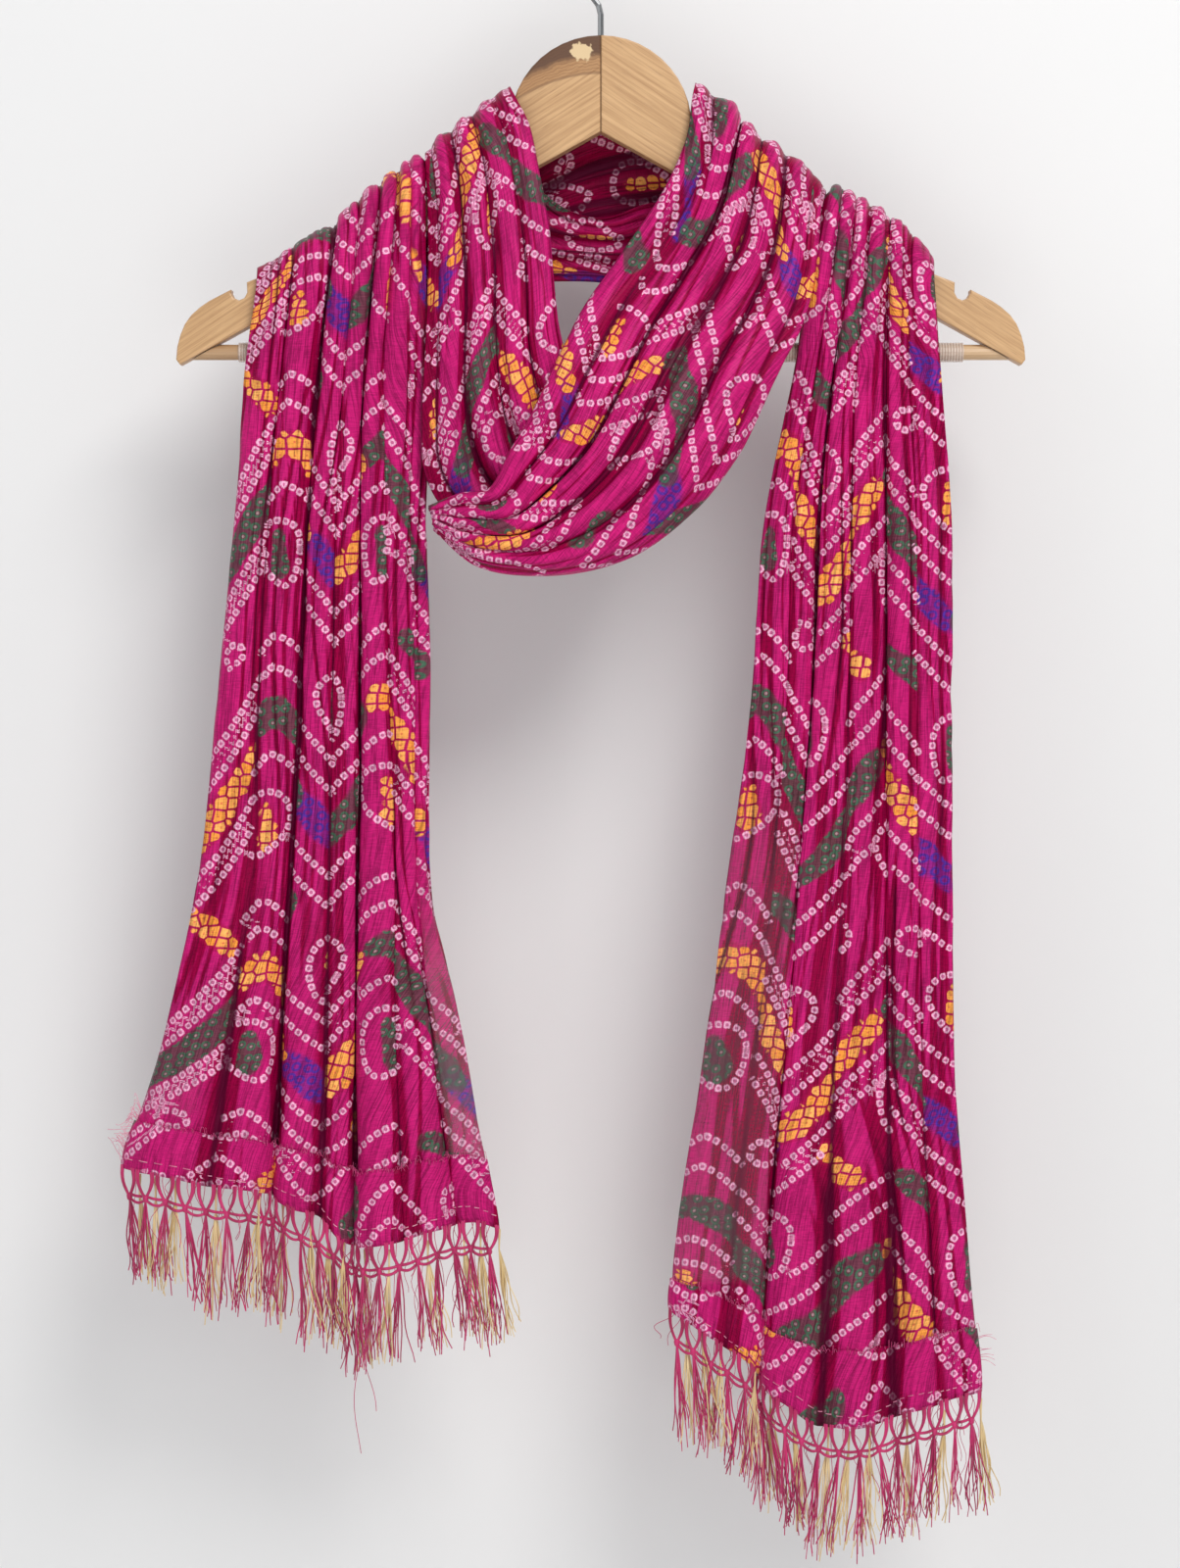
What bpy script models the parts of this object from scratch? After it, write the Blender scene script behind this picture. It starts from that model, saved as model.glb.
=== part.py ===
"""Dupatta stole looped round a wooden hanger, built from fold tables.

Lengths are in millimetres and become metres at the mesh. X runs along the hanger, the front
is -Y, up is +Z, and the origin is the inside top of the hook, where the hanger hangs.
"""
import math

import bmesh
import bpy
import numpy as np

for old in list(bpy.data.objects):
    bpy.data.objects.remove(old, do_unlink=True)

MM = 0.001
CLOTH = 1.4            # thickness of the cloth skin
GAP = 0.35             # clearance between pieces that touch
FINE = 2               # grid steps between two fold lines

# Hanger sizes
WOOD = 12.0            # thickness of the flat wood
DOME_R = 48.0
DOME_Z = -115.8
ARM_TOP_X, ARM_TOP_Z, ARM_TOP_SLOPE = 47.3, -123.9, -0.545
APEX_Z, ARM_LOW_SLOPE = -118.8, -0.554
BAR_Z, BAR_R = -235.2, 4.1
SLEEVE_IN, SLEEVE_OUT, SLEEVE_HALF = 4.4, 5.2, 192.0
WIRE_R, HOOK_R = 1.6, 21.6

# Front of each tail: a row for each fold line, from one edge of the cloth to the other.
# fold, x on the arm, top on the arm, x at each level and at the hem, z of the hem,
# and how far forward it stands: below the arm, at each level and at the hem.
LEFT_LEVELS = (-245.8, -318.6, -412.2, -516.2, -599.4)
LEFT_TAIL = (
    ("edge_out", -181.5, -198.0, (-187.7, -192.9, -201.8, -212.2, -231.4, -252.2), -667.0,
     (9, 10, 12, 12, 12, 12, 14)),
    ("a_ridge", -170.6, -190.7, (-179.4, -184.6, -190.8, -198.1, -212.2, -229.3), -672.2,
     (11, 15, 18, 18, 19, 20, 24)),
    ("a_fold", -161.2, -185.5, (-169.5, -175.2, -181.0, -187.7, -196.0, -207.5), -676.9,
     (9, 11, 12, 13, 13, 15, 19)),
    ("a_ridge2", -151.3, -174.6, (-160.2, -165.4, -171.1, -175.8, -181.5, -187.7), -679.0,
     (13, 17, 19, 19, 19, 20, 22)),
    ("deep_1", -139.4, -168.9, (-149.2, -154.4, -159.1, -164.8, -169.5, -173.7), -680.6,
     (9, 9, 8, 7, 7, 7, 8)),
    ("b_ridge", -132.6, -158.5, (-141.4, -146.1, -149.2, -154.4, -158.6, -163.8), -688.9,
     (16, 19, 20, 20, 19, 18, 18)),
    ("b_fold", -126.4, -155.4, (-135.7, -139.9, -142.0, -144.0, -146.1, -149.2), -693.0,
     (12, 13, 13, 12, 13, 13, 13)),
    ("b_ridge2", -120.1, -147.6, (-131.0, -133.6, -134.7, -136.2, -137.8, -138.8), -704.5,
     (18, 20, 19, 18, 17, 16, 15)),
    ("deep_2", -115.4, -148.1, (-125.3, -126.9, -126.9, -127.9, -129.5, -130.5), -707.6,
     (9, 8, 7, 7, 7, 7, 7)),
    ("c_ridge", -111.3, -141.3, (-120.1, -121.2, -119.6, -119.1, -119.1, -119.1), -708.6,
     (19, 21, 20, 19, 19, 20, 22)),
    ("c_fold", -107.1, -140.8, (-113.9, -113.9, -112.3, -109.7, -108.7, -104.5), -705.5,
     (13, 13, 13, 13, 14, 15, 18)),
    ("c_ridge2", -103.5, -135.1, (-106.6, -106.6, -104.5, -102.4, -98.3, -90.0), -700.8,
     (20, 21, 19, 18, 18, 19, 21)),
    ("c_fold2", -100.4, -135.6, (-101.4, -100.9, -99.3, -98.3, -90.0, -77.0), -696.7,
     (13, 11, 10, 10, 11, 12, 13)),
    ("d_ridge", -98.3, -131.4, (-98.3, -97.8, -95.2, -94.6, -82.2, -68.1), -695.6,
     (18, 15, 14, 14, 14, 15, 17)),
    ("edge_in", -96.2, -132.5, (-95.2, -94.6, -91.5, -92.0, -74.4, -55.6), -699.3,
     (13, 10, 9.5, 10, 10, 11, 12)),
)
RIGHT_LEVELS = (-245.8, -318.6, -412.2, -516.2, -620.2, -698.2)
RIGHT_TAIL = (
    ("edge_in", 121.4, -151.2, (103.1, 88.9, 81.1, 68.6, 53.6, 42.6, 38.5), -741.9,
     (10, 9.5, 10, 11, 12, 13, 14, 15)),
    ("a_ridge", 124.8, -147.6, (108.7, 95.7, 90.0, 80.6, 67.1, 56.7, 49.4), -751.3,
     (17, 16, 16, 16, 17, 18, 19, 20)),
    ("a_fold", 127.9, -151.2, (113.9, 102.4, 98.8, 91.0, 80.6, 71.2, 65.0), -761.7,
     (12, 11, 11, 12, 13, 14, 15, 16)),
    ("a_ridge2", 131.0, -150.7, (118.6, 108.7, 105.6, 98.3, 89.4, 81.6, 75.4), -767.9,
     (18, 17, 17, 16, 16, 16, 16, 16)),
    ("deep_1", 134.7, -155.4, (122.7, 115.4, 112.3, 105.0, 96.2, 88.9, 83.7), -778.8,
     (10, 8.8, 8, 7, 7, 7, 7, 7)),
    ("b_ridge", 138.8, -153.8, (129.0, 123.8, 121.2, 116.0, 108.7, 103.5, 97.2), -791.8,
     (19, 19, 19, 18, 18, 18, 19, 20)),
    ("b_fold", 143.5, -159.0, (135.2, 132.6, 131.6, 128.4, 123.2, 121.2, 116.0), -803.8,
     (13, 13, 13, 13, 14, 14, 15, 17)),
    ("b_ridge2", 148.2, -159.0, (141.4, 140.4, 140.4, 138.8, 136.8, 136.8, 134.7), -805.4,
     (18, 20, 19, 18, 18, 19, 20, 22)),
    ("deep_2", 153.4, -165.8, (151.3, 151.3, 151.3, 150.8, 151.8, 153.9, 154.4), -799.6,
     (9, 8.5, 9, 10, 11, 12, 13, 15)),
    ("c_ridge", 158.1, -166.3, (156.5, 158.1, 159.1, 159.6, 162.2, 165.9, 169.0), -795.5,
     (15, 17, 18, 18, 18, 18, 19, 21)),
    ("c_fold", 162.8, -173.0, (163.3, 166.4, 167.4, 168.0, 170.0, 174.2, 179.4), -791.8,
     (10, 11, 12, 13, 13, 13, 14, 16)),
    ("c_ridge2", 168.0, -177.2, (170.0, 173.7, 174.7, 175.2, 177.3, 182.5, 188.8), -788.7,
     (13, 15, 16, 16, 16, 16, 16, 18)),
    ("edge_out", 175.8, -192.3, (179.9, 184.1, 184.6, 184.1, 186.7, 193.4, 200.7), -785.6,
     (9, 9.5, 10, 10, 10, 10, 11, 13)),
)

# Front of the loop: a row for each station from the arm to the lower left turn.
# inner edge x, z, forward, outer edge x, z, forward, how far the low shape has taken over
COWL_RAILS = (
    (47.3, -115.8, 12.0, 115.5, -170.4, 12.0, 0.0),
    (35.9, -147.0, 17.0, 111.9, -199.0, 17.0, 0.0),
    (14.0, -180.8, 23.0, 104.0, -224.0, 23.0, 0.2),
    (-6.8, -210.5, 30.0, 89.4, -252.6, 32.0, 0.6),
    (-22.4, -240.6, 37.0, 72.3, -288.5, 42.0, 1.0),
    (-35.4, -269.2, 43.0, 48.4, -319.2, 50.0, 1.0),
    (-47.3, -289.0, 48.0, 14.0, -344.1, 54.0, 1.0),
    (-58.8, -308.2, 50.0, -27.6, -353.0, 53.0, 0.9),
    (-74.4, -310.8, 46.0, -64.5, -347.8, 46.0, 0.6),
    (-91.0, -317.6, 37.0, -87.4, -328.4, 36.0, 0.2),
)
# fold, share of the way from inner to outer edge, x and top on the arm, height there, height low
COWL_FOLDS = (
    ("inner_edge", 0.00, 49.9, -93.2, 0.0, 0.0),
    ("lip_ridge", 0.07, 53.6, -94.6, 4.0, 6.0),
    ("lip_fold", 0.15, 59.8, -100.4, 1.0, 2.0),
    ("peak_ridge", 0.24, 69.7, -103.8, 6.0, 9.0),
    ("long_crease", 0.33, 74.4, -113.8, 1.0, 0.0),
    ("mid_ridge", 0.42, 79.0, -114.8, 6.0, 9.0),
    ("mid_fold", 0.52, 85.3, -124.2, 2.0, 4.0),
    ("low_ridge", 0.62, 91.5, -124.2, 6.0, 10.0),
    ("low_fold", 0.72, 98.3, -131.4, 1.0, 4.0),
    ("belly_ridge", 0.82, 105.0, -133.5, 5.0, 8.0),
    ("belly_fold", 0.92, 111.8, -141.8, 1.0, 2.0),
    ("turn", 1.00, 116.4, -147.0, 0.0, -7.0),
    ("under", 0.97, 118.4, -151.0, -1.5, -19.0),
)

# Left side of the loop, which goes down behind the front band. Columns as above.
LOOP_RAILS = (
    (-39.5, -113.2, 12.0, -91.5, -160.0, 12.0, 0.0),
    (-33.8, -139.2, 15.0, -91.0, -188.6, 14.0, 0.3),
    (-28.6, -167.8, 19.0, -91.5, -217.2, 17.0, 0.6),
    (-26.0, -193.8, 23.0, -93.1, -245.8, 20.0, 0.9),
    (-23.4, -222.4, 26.0, -94.0, -274.4, 22.0, 1.0),
    (-17.2, -248.4, 26.0, -92.5, -300.4, 23.0, 1.0),
    (-12.0, -269.2, 25.0, -82.2, -318.6, 24.0, 0.8),
    (-7.8, -284.8, 24.0, -61.4, -331.6, 24.0, 0.6),
)
LOOP_FOLDS = (
    ("inner_edge", 0.00, -47.9, -95.4, 0.0, 0.0),
    ("lip_ridge", 0.10, -51.5, -96.6, 4.0, 5.0),
    ("lip_fold", 0.20, -56.7, -101.6, 1.0, 1.0),
    ("ridge_1", 0.32, -61.9, -103.4, 6.0, 6.0),
    ("fold_1", 0.44, -67.6, -110.6, 1.0, 0.0),
    ("ridge_2", 0.56, -73.3, -111.7, 7.0, 7.0),
    ("fold_2", 0.68, -79.0, -119.0, 1.0, 0.0),
    ("ridge_3", 0.80, -84.8, -120.0, 6.0, 6.0),
    ("fold_3", 0.90, -89.4, -127.3, 1.0, 1.0),
    ("outer_edge", 1.00, -92.6, -130.4, -1.0, -3.0),
)

# The two stretches that cross behind the neck: inner edge x, z, back, outer edge x, z, back.
NEAR_WRAP = (
    (-42.0, -136.0, 12.0, -90.0, -178.0, 11.5),
    (-26.0, -153.0, 12.5, -62.0, -193.0, 12.0),
    (0.0, -163.0, 12.5, 0.0, -197.0, 12.0),
    (30.0, -154.5, 12.5, 62.0, -205.0, 12.0),
    (80.0, -166.0, 12.5, 130.0, -219.0, 12.0),
    (112.0, -184.0, 12.0, 168.0, -219.0, 11.5),
)
FAR_WRAP = (
    (-88.0, -168.0, 21.0, -172.0, -219.0, 15.0),
    (-60.0, -151.0, 24.0, -122.0, -218.0, 22.0),
    (-28.0, -131.0, 25.0, -60.0, -203.0, 24.5),
    (0.0, -118.0, 25.0, 0.0, -190.0, 24.5),
    (30.0, -112.0, 25.0, 60.0, -180.0, 24.5),
    (46.0, -113.0, 21.0, 108.0, -181.0, 23.0),
)
# share across, height of the pleats that run along the wraps
WRAP_PLEATS = ((0.0, 0.0), (0.14, 2.5), (0.28, -0.5), (0.42, 2.5), (0.57, 0.0),
               (0.72, 2.5), (0.87, -0.5), (1.0, 1.0))

HEM_DEPTH = 31.0
KNOT_PITCH = 11.5
VIEW_X, VIEW_Z, VIEW_FAR = -5.7, -360.0, 1600.0
LINK_DROP = 13.0
TASSEL = 52.0


def through(knots, rows, at, soft=True):
    """A smooth curve through rows at knots. Soft keeps it from overshooting any row."""
    knots = np.asarray(knots, float)
    rows = np.asarray(rows, float)
    at = np.asarray(at, float)
    gap = np.diff(knots)
    wide = (-1,) + (1,) * (rows.ndim - 1)
    slope = np.diff(rows, axis=0) / gap.reshape(wide)
    tangent = np.zeros_like(rows)
    before, after = slope[:-1], slope[1:]
    g0, g1 = gap[:-1].reshape(wide), gap[1:].reshape(wide)
    if soft:
        same = before * after > 1e-12
        safe0 = np.where(same, before, 1.0)
        safe1 = np.where(same, after, 1.0)
        mean = 3.0 * (g0 + g1) / ((2 * g1 + g0) / safe0 + (g1 + 2 * g0) / safe1)
        tangent[1:-1] = np.where(same, mean, 0.0)
    else:
        tangent[1:-1] = (before * g1 + after * g0) / (g0 + g1)
    tangent[0] = slope[0]
    tangent[-1] = slope[-1]
    k = np.clip(np.searchsorted(knots, at, side="right") - 1, 0, len(gap) - 1)
    h = gap[k].reshape(wide)
    t = ((at - knots[k]) / gap[k]).reshape(wide)
    a = rows[k] * (2 * t ** 3 - 3 * t ** 2 + 1) + rows[k + 1] * (3 * t ** 2 - 2 * t ** 3)
    return a + h * (tangent[k] * (t ** 3 - 2 * t ** 2 + t) + tangent[k + 1] * (t ** 3 - t ** 2))


def arm_top(x):
    """Height of the top edge of the arm at x."""
    return ARM_TOP_Z + ARM_TOP_SLOPE * (abs(x) - ARM_TOP_X)


def over_arm(top_x, top_z, back, back_z, front):
    """One fold line over the arm: from behind, over the top, to a point in front."""
    points = []
    for deg in (0, 30, 60, 90, 120, 150):
        c, s = math.cos(math.radians(deg)), math.sin(math.radians(deg))
        if deg <= 90:
            points.append((top_x, back * c, back_z + s * (top_z - back_z)))
        else:
            x = front[0] + s * (top_x - front[0])
            points.append((x, -front[1] * -c, front[2] + s * (top_z - front[2])))
    points.append((front[0], -front[1], front[2]))
    return points


def tail_net(folds, levels, back_near, back_far):
    """Fold lines of a tail, from behind the arm to the hem."""
    net = []
    for i, (_, x, top, xs, hem, outs) in enumerate(folds):
        share = i / (len(folds) - 1)
        back = back_near + share * (back_far - back_near) + (1.2 if i % 2 else 0.0)
        low = arm_top(x) - 6.0
        top = max(top, low + 11.5)
        front = (x + 0.2 * (xs[0] - x), max(outs[0], 10.3), low)
        line = over_arm(x, top, back, low, front)
        for k, z in enumerate(levels):
            line.append((xs[k], -outs[k + 1], z))
        line.append((xs[-1], -outs[-1], hem))
        net.append(line)
    return unforeshorten(np.array(net))


def band_net(folds, rails, back_near, back_far, back_z):
    """Fold lines of a side of the loop, from behind the arm down the front."""
    net = []
    for i, (_, share, x, top, high, low) in enumerate(folds):
        place = i / (len(folds) - 1)
        back = back_near + place * (back_far - back_near) + (1.2 if i % 2 else 0.0)
        bz = back_z[0] + place * (back_z[1] - back_z[0])
        line = []
        for ax, az, ao, bx, bz2, bo, w in rails:
            out = ao + share * (bo - ao) + high + w * (low - high)
            line.append((ax + share * (bx - ax), -out, az + share * (bz2 - az)))
        first = line[0]
        start = over_arm(x, top, back, bz, (first[0], max(-first[1], 9.6), first[2]))
        net.append(start + line[1:])
    return unforeshorten(np.array(net))


def unforeshorten(net):
    """Draw points that stand forward of the hanger in towards the line of sight."""
    near = 1.0 + np.minimum(net[..., 1], 0.0) / VIEW_FAR
    out = net.copy()
    out[..., 0] = VIEW_X + (net[..., 0] - VIEW_X) * near
    out[..., 2] = VIEW_Z + (net[..., 2] - VIEW_Z) * near
    return out


def lengths(net):
    """Mean distance along the fold lines, used as the knots of the long direction."""
    step = np.linalg.norm(np.diff(net, axis=1), axis=2).mean(axis=0)
    return np.concatenate([[0.0], np.cumsum(step)])


def weave(net, u, v):
    """Points of the cloth at fold places u and distances v."""
    rows = through(np.arange(len(net)), net, u)
    cols = through(lengths(net), rows.transpose(1, 0, 2), v, soft=False)
    return cols.transpose(1, 0, 2)


def facing(grid, toward):
    """Unit normals of a grid, turned to the side that toward names at its last row."""
    across = np.gradient(grid, axis=0)
    along = np.gradient(grid, axis=1)
    n = np.cross(across, along)
    n /= np.maximum(np.linalg.norm(n, axis=2, keepdims=True), 1e-9)
    if n[:, -2:, 1].mean() * toward < 0:
        n = -n
    return n


def finish(bm, name, color, rough):
    bmesh.ops.recalc_face_normals(bm, faces=bm.faces)
    mesh = bpy.data.meshes.new(name)
    bm.to_mesh(mesh)
    bm.free()
    thing = bpy.data.objects.new(name, mesh)
    bpy.context.scene.collection.objects.link(thing)
    paint = bpy.data.materials.new(name)
    paint.use_nodes = True
    shader = paint.node_tree.nodes["Principled BSDF"]
    shader.inputs["Base Color"].default_value = (*color, 1.0)
    shader.inputs["Roughness"].default_value = rough
    mesh.materials.append(paint)
    return thing


def skin(name, grid, low, high, toward, level_ends=(), color=(0.42, 0.012, 0.16), rough=0.6):
    """A closed skin between two offsets from a grid of points."""
    n = facing(grid, toward)
    for row in level_ends:
        n[:, row, 2] = 0.0
        n[:, row] /= np.linalg.norm(n[:, row], axis=1, keepdims=True)
    a, b = grid.shape[:2]
    bm = bmesh.new()
    layers = []
    for offset in (low, high):
        pts = (grid + n * offset) * MM
        layers.append([[bm.verts.new(pts[i, j]) for j in range(b)] for i in range(a)])
    for layer in layers:
        for i in range(a - 1):
            for j in range(b - 1):
                bm.faces.new((layer[i][j], layer[i + 1][j], layer[i + 1][j + 1], layer[i][j + 1]))
    rim = [(i, 0) for i in range(a)] + [(a - 1, j) for j in range(1, b)]
    rim += [(i, b - 1) for i in range(a - 2, -1, -1)] + [(0, j) for j in range(b - 2, 0, -1)]
    for k, (i, j) in enumerate(rim):
        p, q = rim[(k + 1) % len(rim)]
        bm.faces.new((layers[0][i][j], layers[0][p][q], layers[1][p][q], layers[1][i][j]))
    return finish(bm, name, color, rough)


def steps(net, hem=True):
    """Grid places for a stretch: fold places across, distances along."""
    u = np.linspace(0, len(net) - 1, (len(net) - 1) * FINE + 1)
    knots = lengths(net)
    v = list(knots[:7])
    for a, b in zip(knots[6:-1], knots[7:]):
        count = max(1, int(round((b - a) / 42.0)))
        v += [a + (b - a) * (k + 1) / count for k in range(count)]
    if hem:
        end = v[-1]
        v = [x for x in v if x < end - HEM_DEPTH - 8.0]
        v += [end - HEM_DEPTH, end - HEM_DEPTH / 2, end]
    return u, np.array(v)


def wrap_grid(left, right, rails, columns=25):
    """A stretch behind the neck, from the back edge of one crest to that of the other."""
    u = np.linspace(0.0, 1.0, columns)
    ends = []
    for edge in (left, right):
        edge = edge - np.array([0.0, 0.0, GAP + 0.3])
        ends.append(through(np.linspace(0, 1, len(edge)), edge, u))
    share, lift = zip(*WRAP_PLEATS)
    pleat = through(share, lift, u)
    drop = np.array([0.0, 0.0, 3.5])
    lines = [ends[0], ends[0] - drop]
    for ax, az, ay, bx, bz, by in rails:
        lines.append(np.stack([ax + u * (bx - ax), ay + u * (by - ay) + pleat,
                               az + u * (bz - az)], axis=1))
    lines += [ends[1] - drop, ends[1]]
    net = np.array(lines).transpose(1, 0, 2)
    knots = lengths(net)
    fine = np.concatenate([knots[:1], np.linspace(knots[1], knots[-2], 13), knots[-1:]])
    cols = through(knots, net.transpose(1, 0, 2), fine, soft=False)
    return cols.transpose(1, 0, 2)


def fringe(name, edge, count_pitch):
    """Header strip, links, chain strip and tassels as one closed mesh under a hem."""
    size = np.concatenate([[0.0], np.cumsum(np.linalg.norm(np.diff(edge, axis=0), axis=1))])
    total = size[-1]
    knots = int(round(total / count_pitch))
    pitch = total / knots

    def on_edge(s):
        p = np.array([np.interp(s, size, edge[:, k]) for k in range(3)])
        p[2] = min(np.interp(s + d, size, edge[:, 2]) for d in (-1.5, 0.0, 1.5))
        return p

    soft = np.array([sum(on_edge(np.clip(s + d, 0, total)) for d in (-9, -4.5, 0, 4.5, 9)) / 5
                     for s in np.linspace(0, total, 60)])

    def on_soft(s):
        return np.array([np.interp(s, np.linspace(0, total, 60), soft[:, k]) for k in range(3)])

    def frame(path, s, drop, thick, tall):
        p = path(s)
        t = path(min(s + 2.0, total)) - path(max(s - 2.0, 0.0))
        side = np.array([-t[1], t[0], 0.0])
        side /= max(np.linalg.norm(side), 1e-9)
        top = p - np.array([0, 0, drop])
        low = top - np.array([0, 0, tall])
        return [top - side * thick, top + side * thick, low + side * thick, low - side * thick]

    bm = bmesh.new()

    def column(points):
        return [bm.verts.new(q * MM) for q in points]

    head_s, head_leg, chain_s, chain_seg = [0.6], {}, [0.8], {}
    for k in range(knots):
        c = (k + 0.5) * pitch
        for m, (a, b) in enumerate(((c - 4.4, c - 3.2), (c + 3.2, c + 4.4))):
            if m == 1:
                head_s.append(c)
            head_s.append(a)
            head_leg[len(head_s) - 1] = (k, m)
            head_s.append(b)
        for m in range(5):
            chain_s.append(c + (m - 2) * 1.2)
            if m < 4:
                chain_seg[len(chain_s) - 1] = (k, m)
    head_s.append(total - 0.6)
    chain_s.append(total - 0.8)
    head = [column(frame(on_edge, s, 0.5, 0.8, 2.0)) for s in head_s]
    chain = [column(frame(on_soft, s, LINK_DROP, 0.8, 2.2)) for s in chain_s]
    legs = {}
    for i in range(len(head) - 1):
        p, q = head[i], head[i + 1]
        bm.faces.new((p[0], q[0], q[1], p[1]))
        bm.faces.new((p[1], q[1], q[2], p[2]))
        bm.faces.new((p[3], q[3], q[0], p[0]))
        if i in head_leg:
            legs[head_leg[i]] = (p[2], q[2], q[3], p[3])
        else:
            bm.faces.new((p[2], q[2], q[3], p[3]))
    for i in range(len(chain) - 1):
        p, q = chain[i], chain[i + 1]
        bm.faces.new((p[1], q[1], q[2], p[2]))
        bm.faces.new((p[3], q[3], q[0], p[0]))
        k, m = chain_seg.get(i, (-1, -1))
        if m in (0, 3):
            top = legs[(k, 0 if m == 0 else 1)]
            low = (p[1], q[1], q[0], p[0])
            for e in range(4):
                f = (e + 1) % 4
                bm.faces.new((top[e], top[f], low[f], low[e]))
        else:
            bm.faces.new((p[0], q[0], q[1], p[1]))
        if m < 0:
            bm.faces.new((p[2], q[2], q[3], p[3]))
            continue
        root = (p[2], q[2], q[3], p[3])
        mid = sum((v.co for v in root), root[0].co * 0.0) / 4 / MM
        swing = math.sin(k * 2.3 + m * 1.7)
        side = (m - 1.5) * 2.0 + 1.6 * math.sin(k * 1.9)
        reach = TASSEL + 5.0 * swing + 6.0 * math.sin(math.pi * (k + 0.5) / knots)
        centre = (mid[0] + side, mid[1] - 1.5 * math.sin(k * 1.3 + m * 2.1), mid[2] - reach)
        tip = []
        for v in root:
            c = v.co / MM
            tip.append(bm.verts.new([(centre[a] + (c[a] - mid[a]) * 0.45) * MM for a in range(3)]))
        for e in range(4):
            f = (e + 1) % 4
            bm.faces.new((root[e], root[f], tip[f], tip[e]))
        bm.faces.new(tip)
    for strip in (head, chain):
        bm.faces.new(strip[0])
        bm.faces.new(strip[-1])
    return finish(bm, name, (0.5, 0.05, 0.2), 0.6)


def hanger_half(name, side):
    """One half of the flat wooden hanger, from the seam to the rounded tip."""
    outline = []
    for k in range(13):
        a = math.radians(90 - k * (90 + 9.7) / 12)
        outline.append((max(0.15, DOME_R * math.cos(a)), DOME_Z + DOME_R * math.sin(a)))
    outline += [(66.0, -134.0), (176.8, -194.4), (187.2, -198.5)]
    for k in range(1, 6):
        a = math.radians(155 + k * 38)
        outline.append((191.3 + 4.4 * math.cos(a), -202.8 + 5.2 * math.sin(a)))
    outline += [(195.6, -202.4), (201.2, -205.3), (207.0, -208.3), (211.6, -211.4), (216.4, -215.6),
                (219.9, -220.4), (222.4, -226.4), (224.0, -232.6), (224.6, -239.4), (222.6, -242.1)]
    outline.append((0.15, APEX_Z + ARM_LOW_SLOPE * 0.15))
    bm = bmesh.new()
    face = bm.faces.new([bm.verts.new((side * x * MM, -WOOD / 2 * MM, z * MM)) for x, z in outline])
    made = bmesh.ops.extrude_face_region(bm, geom=[face])
    moved = [v for v in made["geom"] if isinstance(v, bmesh.types.BMVert)]
    bmesh.ops.translate(bm, verts=moved, vec=(0, WOOD * MM, 0))
    bmesh.ops.recalc_face_normals(bm, faces=bm.faces)
    edges = [e for e in bm.edges if abs(e.verts[0].co.y - e.verts[1].co.y) < 1e-6]
    bmesh.ops.bevel(bm, geom=edges, offset=1.2 * MM, segments=2, profile=0.5,
                    affect="EDGES", clamp_overlap=True)
    return finish(bm, name, (0.63, 0.42, 0.23), 0.5)


def rod(name, rings, color, rough, closed=False):
    """A tube of rings. Closed joins the last ring to the first, else the ends are capped."""
    bm = bmesh.new()
    loops = [[bm.verts.new([c * MM for c in p]) for p in ring] for ring in rings]
    pairs = list(zip(loops[:-1], loops[1:]))
    if closed:
        pairs.append((loops[-1], loops[0]))
    for one, two in pairs:
        for k in range(len(one)):
            m = (k + 1) % len(one)
            bm.faces.new((one[k], one[m], two[m], two[k]))
    if not closed:
        bm.faces.new(loops[0])
        bm.faces.new(loops[-1])
    return finish(bm, name, color, rough)


def bar_ring(side, radius, sides=16):
    """A ring at the end of the bar, cut to the slope of the arm's lower edge."""
    ring = []
    for k in range(sides):
        a = 2 * math.pi * k / sides
        z = BAR_Z + radius * math.sin(a)
        x = (APEX_Z - z) / -ARM_LOW_SLOPE - 0.9
        ring.append((side * x, radius * math.cos(a), z))
    return ring


def flat_ring(x, radius, sides=16):
    return [(x, radius * math.cos(2 * math.pi * k / sides),
             BAR_Z + radius * math.sin(2 * math.pi * k / sides)) for k in range(sides)]


# Hanger
hanger_half("hanger_half_left", -1)
hanger_half("hanger_half_right", 1)
rod("hanger_bar", [bar_ring(-1, BAR_R), bar_ring(1, BAR_R)], (0.62, 0.44, 0.27), 0.55)
rod("bar_sleeve", [flat_ring(-SLEEVE_HALF, SLEEVE_IN), flat_ring(-SLEEVE_HALF, SLEEVE_OUT),
                   flat_ring(SLEEVE_HALF, SLEEVE_OUT), flat_ring(SLEEVE_HALF, SLEEVE_IN)],
    (0.75, 0.62, 0.52), 0.2, closed=True)

wire = [(0.0, -67.3), (0.0, -56.0), (-1.2, -51.0), (-4.6, -46.4)]
for k in range(17):
    turn = math.radians(236 - k * (236 + 32) / 16)
    wire.append((HOOK_R * math.cos(turn), HOOK_R * math.sin(turn) - 20.0))
rings = []
for k, (x, z) in enumerate(wire):
    ahead = wire[min(k + 1, len(wire) - 1)]
    behind = wire[max(k - 1, 0)]
    dx, dz = ahead[0] - behind[0], ahead[1] - behind[1]
    size = math.hypot(dx, dz)
    nx, nz = -dz / size, dx / size
    rings.append([(x + WIRE_R * math.cos(a) * nx, WIRE_R * math.sin(a), z + WIRE_R * math.cos(a) * nz)
                  for a in (2 * math.pi * m / 8 for m in range(8))])
rod("hook", rings, (0.6, 0.6, 0.6), 0.25)

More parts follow.
